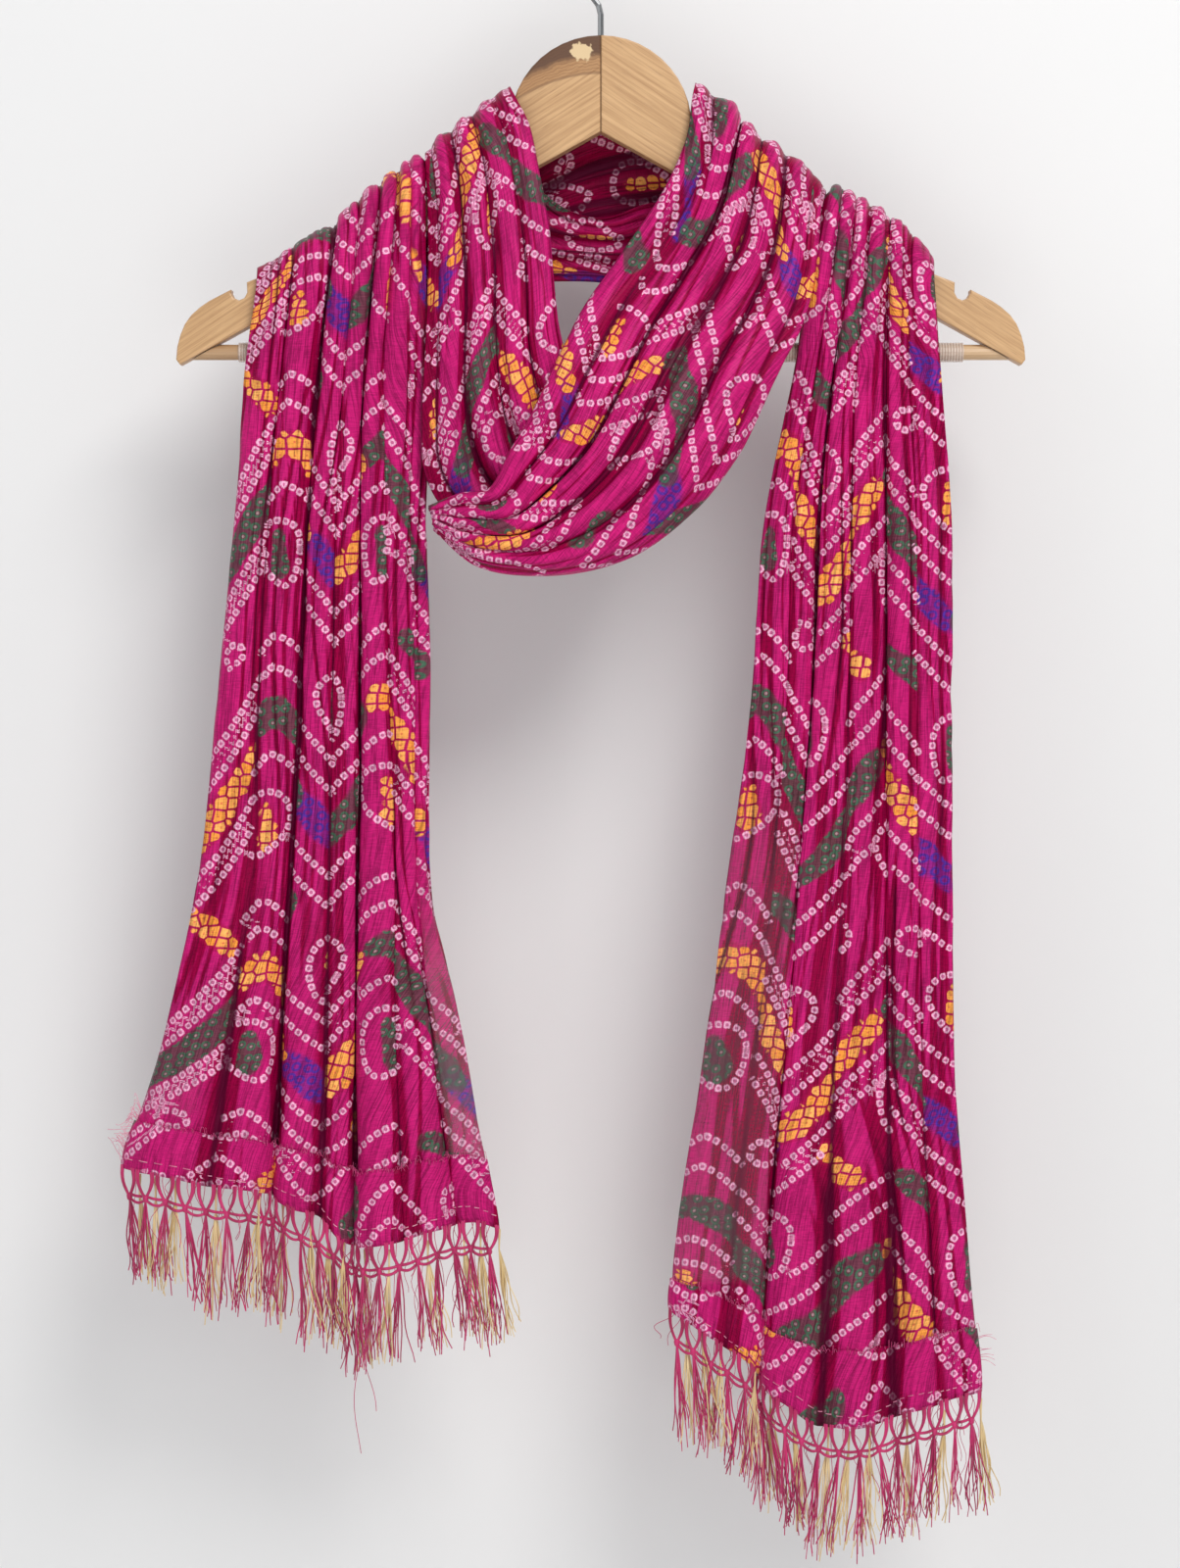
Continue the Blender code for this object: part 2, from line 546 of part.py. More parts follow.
# Cloth in front
left_net = tail_net(LEFT_TAIL, LEFT_LEVELS, 10.0, 13.0)
right_net = tail_net(RIGHT_TAIL, RIGHT_LEVELS, 10.5, 10.0)
cowl_net = band_net(COWL_FOLDS, COWL_RAILS, 10.5, 15.5, (-118.0, -169.5))
loop_net = band_net(LOOP_FOLDS, LOOP_RAILS, 10.5, 10.0, (-118.0, -155.0))
half = CLOTH / 2
edges = {}
for name, net in (("left", left_net), ("right", right_net)):
    u, v = steps(net)
    grid = weave(net, u, v)
    skin("tail_" + name, grid, -half, half, -1, level_ends=(0, -1))
    low = weave(net, u, v[-3:])
    skin("hem_" + name, low, half + GAP, half + GAP + 1.1, -1, level_ends=(-1,))
    edges[name] = grid[:, -1]
for name, net in (("cowl_front", cowl_net), ("cowl_left", loop_net)):
    u, v = steps(net, hem=False)
    skin(name, weave(net, u, v), -half, half, -1, level_ends=(0,))

# Cloth behind the neck
near = wrap_grid(loop_net[:, 0], right_net[:, 0], NEAR_WRAP)
far = wrap_grid(left_net[::-1, 0], cowl_net[:, 0], FAR_WRAP)
skin("wrap_near", near, -half, half, 1, level_ends=(0, -1))
skin("wrap_far", far, -half, half, 1, level_ends=(0, -1))

# Fringe
fringe("fringe_left", edges["left"] + np.array([0.0, -0.8, 0.0]), KNOT_PITCH)
fringe("fringe_right", edges["right"] + np.array([0.0, -0.8, 0.0]), KNOT_PITCH)
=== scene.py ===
"""Looks for the crinkled dupatta stole on its wooden hanger.

The cloth, hems and fringe are made again at fine size over their solids, from the same fold
tables. Lengths are in millimetres and become metres at the mesh.
"""
import math

import bmesh
import bpy
import numpy as np
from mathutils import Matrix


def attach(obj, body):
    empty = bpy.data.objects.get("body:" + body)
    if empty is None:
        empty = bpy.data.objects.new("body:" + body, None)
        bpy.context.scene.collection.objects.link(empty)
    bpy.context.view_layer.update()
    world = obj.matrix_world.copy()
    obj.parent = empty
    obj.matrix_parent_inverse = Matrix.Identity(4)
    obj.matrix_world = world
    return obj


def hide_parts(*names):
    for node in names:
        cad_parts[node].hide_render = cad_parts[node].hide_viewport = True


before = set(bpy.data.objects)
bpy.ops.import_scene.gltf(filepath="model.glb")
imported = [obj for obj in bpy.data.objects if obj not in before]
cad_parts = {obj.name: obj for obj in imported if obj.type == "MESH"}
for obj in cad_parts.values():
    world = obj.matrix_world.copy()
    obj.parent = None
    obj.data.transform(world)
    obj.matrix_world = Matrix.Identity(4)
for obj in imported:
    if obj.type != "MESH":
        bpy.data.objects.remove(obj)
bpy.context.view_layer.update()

MM = 0.001
BODY = "root"
FINE = 13              # grid steps between two fold lines
ROW = 3.0              # grid step along the cloth
SKIN = 0.45            # thickness of the visible cloth

# Top edge of an arm: where it starts, and how it falls
ARM_TOP_X, ARM_TOP_Z, ARM_TOP_SLOPE = 47.3, -123.9, -0.545

# Front of each tail: a row for each fold line, from one edge of the cloth to the other.
# fold, x on the arm, top on the arm, x at each level and at the hem, z of the hem,
# and how far forward it stands: below the arm, at each level and at the hem.
LEFT_LEVELS = (-245.8, -318.6, -412.2, -516.2, -599.4)
LEFT_TAIL = (
    ("edge_out", -181.5, -198.0, (-187.7, -192.9, -201.8, -212.2, -231.4, -252.2), -667.0,
     (9, 10, 12, 12, 12, 12, 14)),
    ("a_ridge", -170.6, -190.7, (-179.4, -184.6, -190.8, -198.1, -212.2, -229.3), -672.2,
     (11, 15, 18, 18, 19, 20, 24)),
    ("a_fold", -161.2, -185.5, (-169.5, -175.2, -181.0, -187.7, -196.0, -207.5), -676.9,
     (9, 11, 12, 13, 13, 15, 19)),
    ("a_ridge2", -151.3, -174.6, (-160.2, -165.4, -171.1, -175.8, -181.5, -187.7), -679.0,
     (13, 17, 19, 19, 19, 20, 22)),
    ("deep_1", -139.4, -168.9, (-149.2, -154.4, -159.1, -164.8, -169.5, -173.7), -680.6,
     (9, 9, 8, 7, 7, 7, 8)),
    ("b_ridge", -132.6, -158.5, (-141.4, -146.1, -149.2, -154.4, -158.6, -163.8), -688.9,
     (16, 19, 20, 20, 19, 18, 18)),
    ("b_fold", -126.4, -155.4, (-135.7, -139.9, -142.0, -144.0, -146.1, -149.2), -693.0,
     (12, 13, 13, 12, 13, 13, 13)),
    ("b_ridge2", -120.1, -147.6, (-131.0, -133.6, -134.7, -136.2, -137.8, -138.8), -704.5,
     (18, 20, 19, 18, 17, 16, 15)),
    ("deep_2", -115.4, -148.1, (-125.3, -126.9, -126.9, -127.9, -129.5, -130.5), -707.6,
     (9, 8, 7, 7, 7, 7, 7)),
    ("c_ridge", -111.3, -141.3, (-120.1, -121.2, -119.6, -119.1, -119.1, -119.1), -708.6,
     (19, 21, 20, 19, 19, 20, 22)),
    ("c_fold", -107.1, -140.8, (-113.9, -113.9, -112.3, -109.7, -108.7, -104.5), -705.5,
     (13, 13, 13, 13, 14, 15, 18)),
    ("c_ridge2", -103.5, -135.1, (-106.6, -106.6, -104.5, -102.4, -98.3, -90.0), -700.8,
     (20, 21, 19, 18, 18, 19, 21)),
    ("c_fold2", -100.4, -135.6, (-101.4, -100.9, -99.3, -98.3, -90.0, -77.0), -696.7,
     (13, 11, 10, 10, 11, 12, 13)),
    ("d_ridge", -98.3, -131.4, (-98.3, -97.8, -95.2, -94.6, -82.2, -68.1), -695.6,
     (18, 15, 14, 14, 14, 15, 17)),
    ("edge_in", -96.2, -132.5, (-95.2, -94.6, -91.5, -92.0, -74.4, -55.6), -699.3,
     (13, 10, 9.5, 10, 10, 11, 12)),
)
RIGHT_LEVELS = (-245.8, -318.6, -412.2, -516.2, -620.2, -698.2)
RIGHT_TAIL = (
    ("edge_in", 121.4, -151.2, (103.1, 88.9, 81.1, 68.6, 53.6, 42.6, 38.5), -741.9,
     (10, 9.5, 10, 11, 12, 13, 14, 15)),
    ("a_ridge", 124.8, -147.6, (108.7, 95.7, 90.0, 80.6, 67.1, 56.7, 49.4), -751.3,
     (17, 16, 16, 16, 17, 18, 19, 20)),
    ("a_fold", 127.9, -151.2, (113.9, 102.4, 98.8, 91.0, 80.6, 71.2, 65.0), -761.7,
     (12, 11, 11, 12, 13, 14, 15, 16)),
    ("a_ridge2", 131.0, -150.7, (118.6, 108.7, 105.6, 98.3, 89.4, 81.6, 75.4), -767.9,
     (18, 17, 17, 16, 16, 16, 16, 16)),
    ("deep_1", 134.7, -155.4, (122.7, 115.4, 112.3, 105.0, 96.2, 88.9, 83.7), -778.8,
     (10, 8.8, 8, 7, 7, 7, 7, 7)),
    ("b_ridge", 138.8, -153.8, (129.0, 123.8, 121.2, 116.0, 108.7, 103.5, 97.2), -791.8,
     (19, 19, 19, 18, 18, 18, 19, 20)),
    ("b_fold", 143.5, -159.0, (135.2, 132.6, 131.6, 128.4, 123.2, 121.2, 116.0), -803.8,
     (13, 13, 13, 13, 14, 14, 15, 17)),
    ("b_ridge2", 148.2, -159.0, (141.4, 140.4, 140.4, 138.8, 136.8, 136.8, 134.7), -805.4,
     (18, 20, 19, 18, 18, 19, 20, 22)),
    ("deep_2", 153.4, -165.8, (151.3, 151.3, 151.3, 150.8, 151.8, 153.9, 154.4), -799.6,
     (9, 8.5, 9, 10, 11, 12, 13, 15)),
    ("c_ridge", 158.1, -166.3, (156.5, 158.1, 159.1, 159.6, 162.2, 165.9, 169.0), -795.5,
     (15, 17, 18, 18, 18, 18, 19, 21)),
    ("c_fold", 162.8, -173.0, (163.3, 166.4, 167.4, 168.0, 170.0, 174.2, 179.4), -791.8,
     (10, 11, 12, 13, 13, 13, 14, 16)),
    ("c_ridge2", 168.0, -177.2, (170.0, 173.7, 174.7, 175.2, 177.3, 182.5, 188.8), -788.7,
     (13, 15, 16, 16, 16, 16, 16, 18)),
    ("edge_out", 175.8, -192.3, (179.9, 184.1, 184.6, 184.1, 186.7, 193.4, 200.7), -785.6,
     (9, 9.5, 10, 10, 10, 10, 11, 13)),
)

# Front of the loop: a row for each station from the arm to the lower left turn.
# inner edge x, z, forward, outer edge x, z, forward, how far the low shape has taken over
COWL_RAILS = (
    (47.3, -115.8, 12.0, 115.5, -170.4, 12.0, 0.0),
    (35.9, -147.0, 17.0, 111.9, -199.0, 17.0, 0.0),
    (14.0, -180.8, 23.0, 104.0, -224.0, 23.0, 0.2),
    (-6.8, -210.5, 30.0, 89.4, -252.6, 32.0, 0.6),
    (-22.4, -240.6, 37.0, 72.3, -288.5, 42.0, 1.0),
    (-35.4, -269.2, 43.0, 48.4, -319.2, 50.0, 1.0),
    (-47.3, -289.0, 48.0, 14.0, -344.1, 54.0, 1.0),
    (-58.8, -308.2, 50.0, -27.6, -353.0, 53.0, 0.9),
    (-74.4, -310.8, 46.0, -64.5, -347.8, 46.0, 0.6),
    (-91.0, -317.6, 37.0, -87.4, -328.4, 36.0, 0.2),
)
# fold, share of the way from inner to outer edge, x and top on the arm, height there, height low
COWL_FOLDS = (
    ("inner_edge", 0.00, 49.9, -93.2, 0.0, 0.0),
    ("lip_ridge", 0.07, 53.6, -94.6, 4.0, 6.0),
    ("lip_fold", 0.15, 59.8, -100.4, 1.0, 2.0),
    ("peak_ridge", 0.24, 69.7, -103.8, 6.0, 9.0),
    ("long_crease", 0.33, 74.4, -113.8, 1.0, 0.0),
    ("mid_ridge", 0.42, 79.0, -114.8, 6.0, 9.0),
    ("mid_fold", 0.52, 85.3, -124.2, 2.0, 4.0),
    ("low_ridge", 0.62, 91.5, -124.2, 6.0, 10.0),
    ("low_fold", 0.72, 98.3, -131.4, 1.0, 4.0),
    ("belly_ridge", 0.82, 105.0, -133.5, 5.0, 8.0),
    ("belly_fold", 0.92, 111.8, -141.8, 1.0, 2.0),
    ("turn", 1.00, 116.4, -147.0, 0.0, -7.0),
    ("under", 0.97, 118.4, -151.0, -1.5, -19.0),
)

# Left side of the loop, which goes down behind the front band. Columns as above.
LOOP_RAILS = (
    (-39.5, -113.2, 12.0, -91.5, -160.0, 12.0, 0.0),
    (-33.8, -139.2, 15.0, -91.0, -188.6, 14.0, 0.3),
    (-28.6, -167.8, 19.0, -91.5, -217.2, 17.0, 0.6),
    (-26.0, -193.8, 23.0, -93.1, -245.8, 20.0, 0.9),
    (-23.4, -222.4, 26.0, -94.0, -274.4, 22.0, 1.0),
    (-17.2, -248.4, 26.0, -92.5, -300.4, 23.0, 1.0),
    (-12.0, -269.2, 25.0, -82.2, -318.6, 24.0, 0.8),
    (-7.8, -284.8, 24.0, -61.4, -331.6, 24.0, 0.6),
)
LOOP_FOLDS = (
    ("inner_edge", 0.00, -47.9, -95.4, 0.0, 0.0),
    ("lip_ridge", 0.10, -51.5, -96.6, 4.0, 5.0),
    ("lip_fold", 0.20, -56.7, -101.6, 1.0, 1.0),
    ("ridge_1", 0.32, -61.9, -103.4, 6.0, 6.0),
    ("fold_1", 0.44, -67.6, -110.6, 1.0, 0.0),
    ("ridge_2", 0.56, -73.3, -111.7, 7.0, 7.0),
    ("fold_2", 0.68, -79.0, -119.0, 1.0, 0.0),
    ("ridge_3", 0.80, -84.8, -120.0, 6.0, 6.0),
    ("fold_3", 0.90, -89.4, -127.3, 1.0, 1.0),
    ("outer_edge", 1.00, -92.6, -130.4, -1.0, -3.0),
)

# The two stretches that cross behind the neck: inner edge x, z, back, outer edge x, z, back.
NEAR_WRAP = (
    (-42.0, -136.0, 12.0, -90.0, -178.0, 11.5),
    (-26.0, -153.0, 12.5, -62.0, -193.0, 12.0),
    (0.0, -163.0, 12.5, 0.0, -197.0, 12.0),
    (30.0, -154.5, 12.5, 62.0, -205.0, 12.0),
    (80.0, -166.0, 12.5, 130.0, -219.0, 12.0),
    (112.0, -184.0, 12.0, 168.0, -219.0, 11.5),
)
FAR_WRAP = (
    (-88.0, -168.0, 21.0, -172.0, -219.0, 15.0),
    (-60.0, -151.0, 24.0, -122.0, -218.0, 22.0),
    (-28.0, -131.0, 25.0, -60.0, -203.0, 24.5),
    (0.0, -118.0, 25.0, 0.0, -190.0, 24.5),
    (30.0, -112.0, 25.0, 60.0, -180.0, 24.5),
    (46.0, -113.0, 21.0, 108.0, -181.0, 23.0),
)
# share across, height of the pleats that run along the wraps
WRAP_PLEATS = ((0.0, 0.0), (0.14, 2.5), (0.28, -0.5), (0.42, 2.5), (0.57, 0.0),
               (0.72, 2.5), (0.87, -0.5), (1.0, 1.0))

HEM_DEPTH = 31.0
STITCH, FRAY = 5.2, 1.9                              # hem: stitch to stitch, loose end to loose end
KNOT_PITCH, LINK_DROP, TASSEL = 11.5, 13.0, 52.0     # fringe: knot to knot, hem to knot, length below

# The eye in front, and the height of the picture there with its middle
VIEW_X, VIEW_Z, VIEW_FAR = -5.7, -360.0, 1600.0
VIEW_TALL, VIEW_MIDDLE = 832.0, -464.2
SENSOR = 36.0

# Print
DOT_STEP, DOT_HALF = 5.0, 1.62       # dot to dot in a tied line, and half a dot
DOT_CORNER = 3.5                     # how square a dot is: 2 is round
CELL = 6.1                           # size of a cell in a patch
WAVE, PERIOD = 190.0, 132.0          # zigzag to zigzag across the cloth, and row to row along it
ORANGE, GREEN, TINT = 0, 1, 2        # kinds of patch
LINE_STEP, LINE_REACH = 2.4, 6.5     # step along a tied line, and how far to its sides it is noted
UNPRINTED = 99.0                     # distance noted where no line or patch is near

# Wood
KNOT_EDGE_Z = -0.0878                # height of the knot's edge at the seam, in metres
CHIP = ((-0.0097, -0.0768), (0.0054, 0.0050))     # the chip's centre and half size, in metres
GLUE_DEEP = 11.2                     # front to back of the glue line

# Folds
TAKE_UP = {"deep": 36.0, "long": 30.0, "fold": 13.0}     # cloth hidden inside a fold line
OVER = (0, 30, 60, 90, 120, 150)     # angles of a fold line's points over the arm, from behind
FRONT = len(OVER)                    # the point after them, where the line hangs free in front
RIDGE_BACK = 1.2                     # every other fold line lies this much further behind the arm
TAIL_CLEAR, BAND_CLEAR = 10.3, 9.6   # least distance of the cloth in front of the arm's middle
EASE = 20                            # grid steps to each side over which a fold lies flatter
FLATTER = 0.62                       # most that a fold lies flatter, as a share of its depth
GOLDEN = 0.618                       # spreads uneven shares over the folds


def through(knots, rows, at, soft=True):
    """A smooth curve through rows at knots. Soft keeps it from overshooting any row."""
    knots = np.asarray(knots, float)
    rows = np.asarray(rows, float)
    at = np.asarray(at, float)
    gap = np.diff(knots)
    wide = (-1,) + (1,) * (rows.ndim - 1)
    slope = np.diff(rows, axis=0) / gap.reshape(wide)
    tangent = np.zeros_like(rows)
    before, after = slope[:-1], slope[1:]
    g0, g1 = gap[:-1].reshape(wide), gap[1:].reshape(wide)
    if soft:
        same = before * after > 1e-12
        safe0 = np.where(same, before, 1.0)
        safe1 = np.where(same, after, 1.0)
        mean = 3.0 * (g0 + g1) / ((2 * g1 + g0) / safe0 + (g1 + 2 * g0) / safe1)
        tangent[1:-1] = np.where(same, mean, 0.0)
    else:
        tangent[1:-1] = (before * g1 + after * g0) / (g0 + g1)
    tangent[0] = slope[0]
    tangent[-1] = slope[-1]
    k = np.clip(np.searchsorted(knots, at, side="right") - 1, 0, len(gap) - 1)
    h = gap[k].reshape(wide)
    t = ((at - knots[k]) / gap[k]).reshape(wide)
    a = rows[k] * (2 * t ** 3 - 3 * t ** 2 + 1) + rows[k + 1] * (3 * t ** 2 - 2 * t ** 3)
    return a + h * (tangent[k] * (t ** 3 - 2 * t ** 2 + t) + tangent[k + 1] * (t ** 3 - t ** 2))


def arm_top(x):
    """Height of the top edge of the arm at x."""
    return ARM_TOP_Z + ARM_TOP_SLOPE * (abs(x) - ARM_TOP_X)


def over_arm(top_x, top_z, back, back_z, front):
    """One fold line over the arm: from behind, over the top, to a point in front."""
    points = []
    for deg in OVER:
        c, s = math.cos(math.radians(deg)), math.sin(math.radians(deg))
        if deg <= 90:
            points.append((top_x, back * c, back_z + s * (top_z - back_z)))
        else:
            x = front[0] + s * (top_x - front[0])
            points.append((x, -front[1] * -c, front[2] + s * (top_z - front[2])))
    points.append((front[0], -front[1], front[2]))
    return points


def tail_net(folds, levels, back_near, back_far):
    """Fold lines of a tail, from behind the arm to the hem."""
    net = []
    for i, (_, x, top, xs, hem, outs) in enumerate(folds):
        share = i / (len(folds) - 1)
        back = back_near + share * (back_far - back_near) + RIDGE_BACK * (i % 2)
        low = arm_top(x) - 6.0
        top = max(top, low + 11.5)
        front = (x + 0.2 * (xs[0] - x), max(outs[0], TAIL_CLEAR), low)
        line = over_arm(x, top, back, low, front)
        for k, z in enumerate(levels):
            line.append((xs[k], -outs[k + 1], z))
        line.append((xs[-1], -outs[-1], hem))
        net.append(line)
    return unforeshorten(np.array(net))


def band_net(folds, rails, back_near, back_far, back_z):
    """Fold lines of a side of the loop, from behind the arm down the front."""
    net = []
    for i, (_, share, x, top, high, low) in enumerate(folds):
        place = i / (len(folds) - 1)
        back = back_near + place * (back_far - back_near) + RIDGE_BACK * (i % 2)
        bz = back_z[0] + place * (back_z[1] - back_z[0])
        line = []
        for ax, az, ao, bx, bz2, bo, w in rails:
            out = ao + share * (bo - ao) + high + w * (low - high)
            line.append((ax + share * (bx - ax), -out, az + share * (bz2 - az)))
        first = line[0]
        start = over_arm(x, top, back, bz, (first[0], max(-first[1], BAND_CLEAR), first[2]))
        net.append(start + line[1:])
    return unforeshorten(np.array(net))


def unforeshorten(net):
    """Draw points that stand forward of the hanger in towards the line of sight."""
    near = 1.0 + np.minimum(net[..., 1], 0.0) / VIEW_FAR
    out = net.copy()
    out[..., 0] = VIEW_X + (net[..., 0] - VIEW_X) * near
    out[..., 2] = VIEW_Z + (net[..., 2] - VIEW_Z) * near
    return out


def lengths(net):
    """Mean distance along the fold lines, used as the knots of the long direction."""
    step = np.linalg.norm(np.diff(net, axis=1), axis=2).mean(axis=0)
    return np.concatenate([[0.0], np.cumsum(step)])


def weave(net, u, v):
    """Points of the cloth at fold places u and distances v."""
    rows = through(np.arange(len(net)), net, u)
    cols = through(lengths(net), rows.transpose(1, 0, 2), v, soft=False)
    return cols.transpose(1, 0, 2)


def facing(grid, toward):
    """Unit normals of a grid, turned to the side that toward names at its last row."""
    across = np.gradient(grid, axis=0)
    along = np.gradient(grid, axis=1)
    n = np.cross(across, along)
    n /= np.maximum(np.linalg.norm(n, axis=2, keepdims=True), 1e-9)
    if n[:, -2:, 1].mean() * toward < 0:
        n = -n
    return n


def grain(x, y, seed):
    """Smooth uneven values from 0 to 1 over a plane, the same at every run."""
    x, y = np.asarray(x, float), np.asarray(y, float)
    ix, iy = np.floor(x), np.floor(y)
    fx, fy = x - ix, y - iy
    fx, fy = fx * fx * (3 - 2 * fx), fy * fy * (3 - 2 * fy)

    def corner(cx, cy):
        v = np.sin(cx * 127.1 + cy * 311.7 + seed * 74.7) * 43758.5453
        return v - np.floor(v)

    low = corner(ix, iy) * (1 - fx) + corner(ix + 1, iy) * fx
    high = corner(ix, iy + 1) * (1 - fx) + corner(ix + 1, iy + 1) * fx
    return low * (1 - fy) + high * fy


def draws(key, count, seed, first=0):
    """Uneven values from 0 to 1 that belong to one key."""
    return [grain(key, first + q, seed) for q in range(count)]


def point(x, y, z):
    """A point or a step, in millimetres."""
    return np.array([x, y, z], float)


def crinkle(across, along, seed):
    """Uneven creases that run along the cloth, in millimetres proud of its form."""
    drift = 2.6 * grain(across / 70, along / 120, seed + 1)
    wide = grain(across / 8.5 + drift, along / 210, seed + 2)
    slim = grain(across / 3.9 + 2 * drift, along / 90, seed + 3)
    crease = 1 - (1 - np.abs(2 * wide - 1)) ** 2.6
    pinch = 1 - (1 - np.abs(2 * slim - 1)) ** 2.4
    strength = 0.35 + 1.0 * grain(across / 40, along / 130, seed + 4)
    cross = grain(across / 24, along / 14, seed + 5) * 0.45
    return strength * (1.75 * crease + 0.75 * pinch) + cross


def run_lengths(points):
    """Distance walked across a grid of points."""
    total = np.cumsum(np.linalg.norm(np.diff(points, axis=0), axis=2), axis=0)
    return np.concatenate([np.zeros_like(total[:1]), total])


class Cloth:
    """A stretch of the stole: its grid of points and where each point lies on the flat cloth."""

    def __init__(self, name):
        self.name = name
        self.still = 1.0
        self.trough = 0.0

    def fold(self, folds, net, seed, gather, calm=(), crush=1.0, under=None):
        """Weaves the cloth from its fold lines, with folds that tighten and ease."""
        knots = lengths(net)
        u = np.linspace(0, len(net) - 1, (len(net) - 1) * FINE + 1)
        v = np.linspace(0, knots[-1], int(round(knots[-1] / ROW)) + 1)
        plain = weave(net, u, v)
        out = -net[:, FRONT + 1:, 1].mean(axis=1)
        k = np.clip(np.floor(u).astype(int), 0, len(net) - 2)
        t = u - k
        rising = out[k] < out[k + 1]
        names = [fold[0] for fold in folds]
        uneven = np.arange(len(folds)) * GOLDEN % 1.0
        sharp = [("deep" in name or "long" in name) and name not in calm for name in names]
        steep = np.where(sharp, 0.5, 0.64 + 0.3 * uneven)
        tight = weave(net, k + np.where(rising, t ** steep[k], 1 - (1 - t) ** steep[k + 1]), v)
        before, after = knots[FRONT - 1], knots[FRONT + 1]
        front = np.clip((v - before) / (after - before), 0, 1)
        plain[..., 1] += front * (tight[..., 1] - plain[..., 1])
        mean = self.across_mean(plain[..., 1], EASE)
        plain[..., 1] += self.slack(u, v, knots, seed) * (mean - plain[..., 1])
        hidden = np.zeros(len(u))
        for row, name in enumerate(names[1:-1], 1):
            takes = [size for word, size in TAKE_UP.items() if word in name]
            if not takes:
                continue
            hidden[row * FINE + 1:] += sum(takes)
            deep = 2.1 if sharp[row] else 0.2 + 0.8 * uneven[row]
            wander = row + 0.16 * (grain(v / 55, v * 0 + row, seed) - 0.5)
            part = 0.25 + 0.95 * grain(v / 80, v * 0 + row * 3, seed + 9)
            away = np.abs(u[:, None] - wander[None, :]) / 0.17
            self.trough = np.maximum(self.trough, deep * part[None, :] * np.exp(-away ** 1.5))
        if under:
            self.slip_under(plain, *under)
        self.set_points(plain, v, seed, crush, gather, hidden)

    def slip_under(self, plain, side, reach, sink, high, low):
        """Slips a tail's edge in under the loop beside it, fading out between two heights."""
        push = np.clip(1 - np.arange(len(plain)) / 7, 0, 1)[::-side, None]
        push = push * np.clip((3 - plain[..., 1]) / 4, 0, 1)
        push = push * np.clip((plain[..., 2] - low) / (high - low), 0, 1)
        inward = facing(plain, -1) * (sink * push)[..., None]
        plain[..., 0] += side * reach * push
        plain -= inward
        self.still = 1 - push

    def set_points(self, plain, v, seed, proud, gather, hidden=0.0, toward=-1):
        """Creases a plain grid of points and notes where its points lie on the flat cloth."""
        self.across = run_lengths(plain)
        width = self.across.mean(axis=1)
        self.flat_u = np.repeat(width[:, None], plain.shape[1], axis=1)
        self.flat_v = np.repeat(v[None, :], plain.shape[0], axis=0)
        self.gather = gather
        self.cut = width * gather + hidden
        self.cut_u = np.repeat(self.cut[:, None], plain.shape[1], axis=1)
        self.leap = np.concatenate([np.diff(self.cut) > 6.0, [True]])
        self.normal = facing(plain, toward)
        lift = crinkle(self.flat_u, self.flat_v, seed) * proud * self.still - 1.1 * self.trough
        self.points = plain + self.normal * lift[..., None]
        self.plain = plain
        shape = plain.shape[:2]
        self.dots = np.full(shape + (3,), UNPRINTED)
        self.line = np.zeros(shape, int)
        self.lines = 0
        self.patch = np.full(shape + (3,), -UNPRINTED)
        self.sheer = np.zeros(shape)
        # Painted shade: how deep each point lies under its neighbours, with the fold troughs. The paint
        # darkens the colour where it is high, and lightens it where it is low as a painted highlight.
        painted_shade = self.below(22) / 15 + self.below(10) / 8 + self.below(3) / 1.6
        self.painted_shade = np.clip(0.27 + painted_shade + 0.22 * self.trough, 0, 1)

    @staticmethod
    def slack(u, v, knots, seed):
        """Share by which the folds lie flatter: it comes and goes, and is none at either end."""
        spread = grain(u[:, None] / 2.6 + seed, v[None, :] / 95 + 3.0, seed + 12)
        spread = np.clip((spread - 0.18) / 0.5, 0, 1)
        away = np.clip((v - knots[FRONT]) / 60, 0, 1) * np.clip((knots[-1] - 55 - v) / 70, 0, 1)
        return FLATTER * spread * away[None, :]

    @staticmethod
    def across_mean(grid, reach):
        """Mean of each point's neighbours across the cloth."""
        padded = np.concatenate([grid[:1]] * reach + [grid] + [grid[-1:]] * reach)
        total = np.cumsum(np.concatenate([np.zeros_like(padded[:1]), padded]), axis=0)
        return (total[2 * reach + 1:] - total[:-2 * reach - 1]) / (2 * reach + 1)

    def below(self, reach):
        """How far each point lies under the mean of its neighbours across, in millimetres."""
        mean = self.across_mean(self.points, reach)
        return np.einsum("ijk,ijk->ij", mean - self.points, self.normal)

    def place(self, u, v):
        """Grid position of a flat place, as fractions of a column and of a row."""
        length = self.flat_v[0]
        return (np.interp(u, self.cut, np.arange(len(self.cut))),
                np.interp(v, length, np.arange(len(length))))

    def at(self, i, j):
        """Point of the cloth at fractional grid positions."""
        a, b = self.points.shape[:2]
        i = np.clip(i, 0, a - 1.001)
        j = np.clip(j, 0, b - 1.001)
        i0, j0 = i.astype(int), j.astype(int)
        fi, fj = (i - i0)[:, None], (j - j0)[:, None]
        p = self.points
        low = p[i0, j0] * (1 - fi) + p[i0 + 1, j0] * fi
        high = p[i0, j0 + 1] * (1 - fi) + p[i0 + 1, j0 + 1] * fi
        return low * (1 - fj) + high * fj

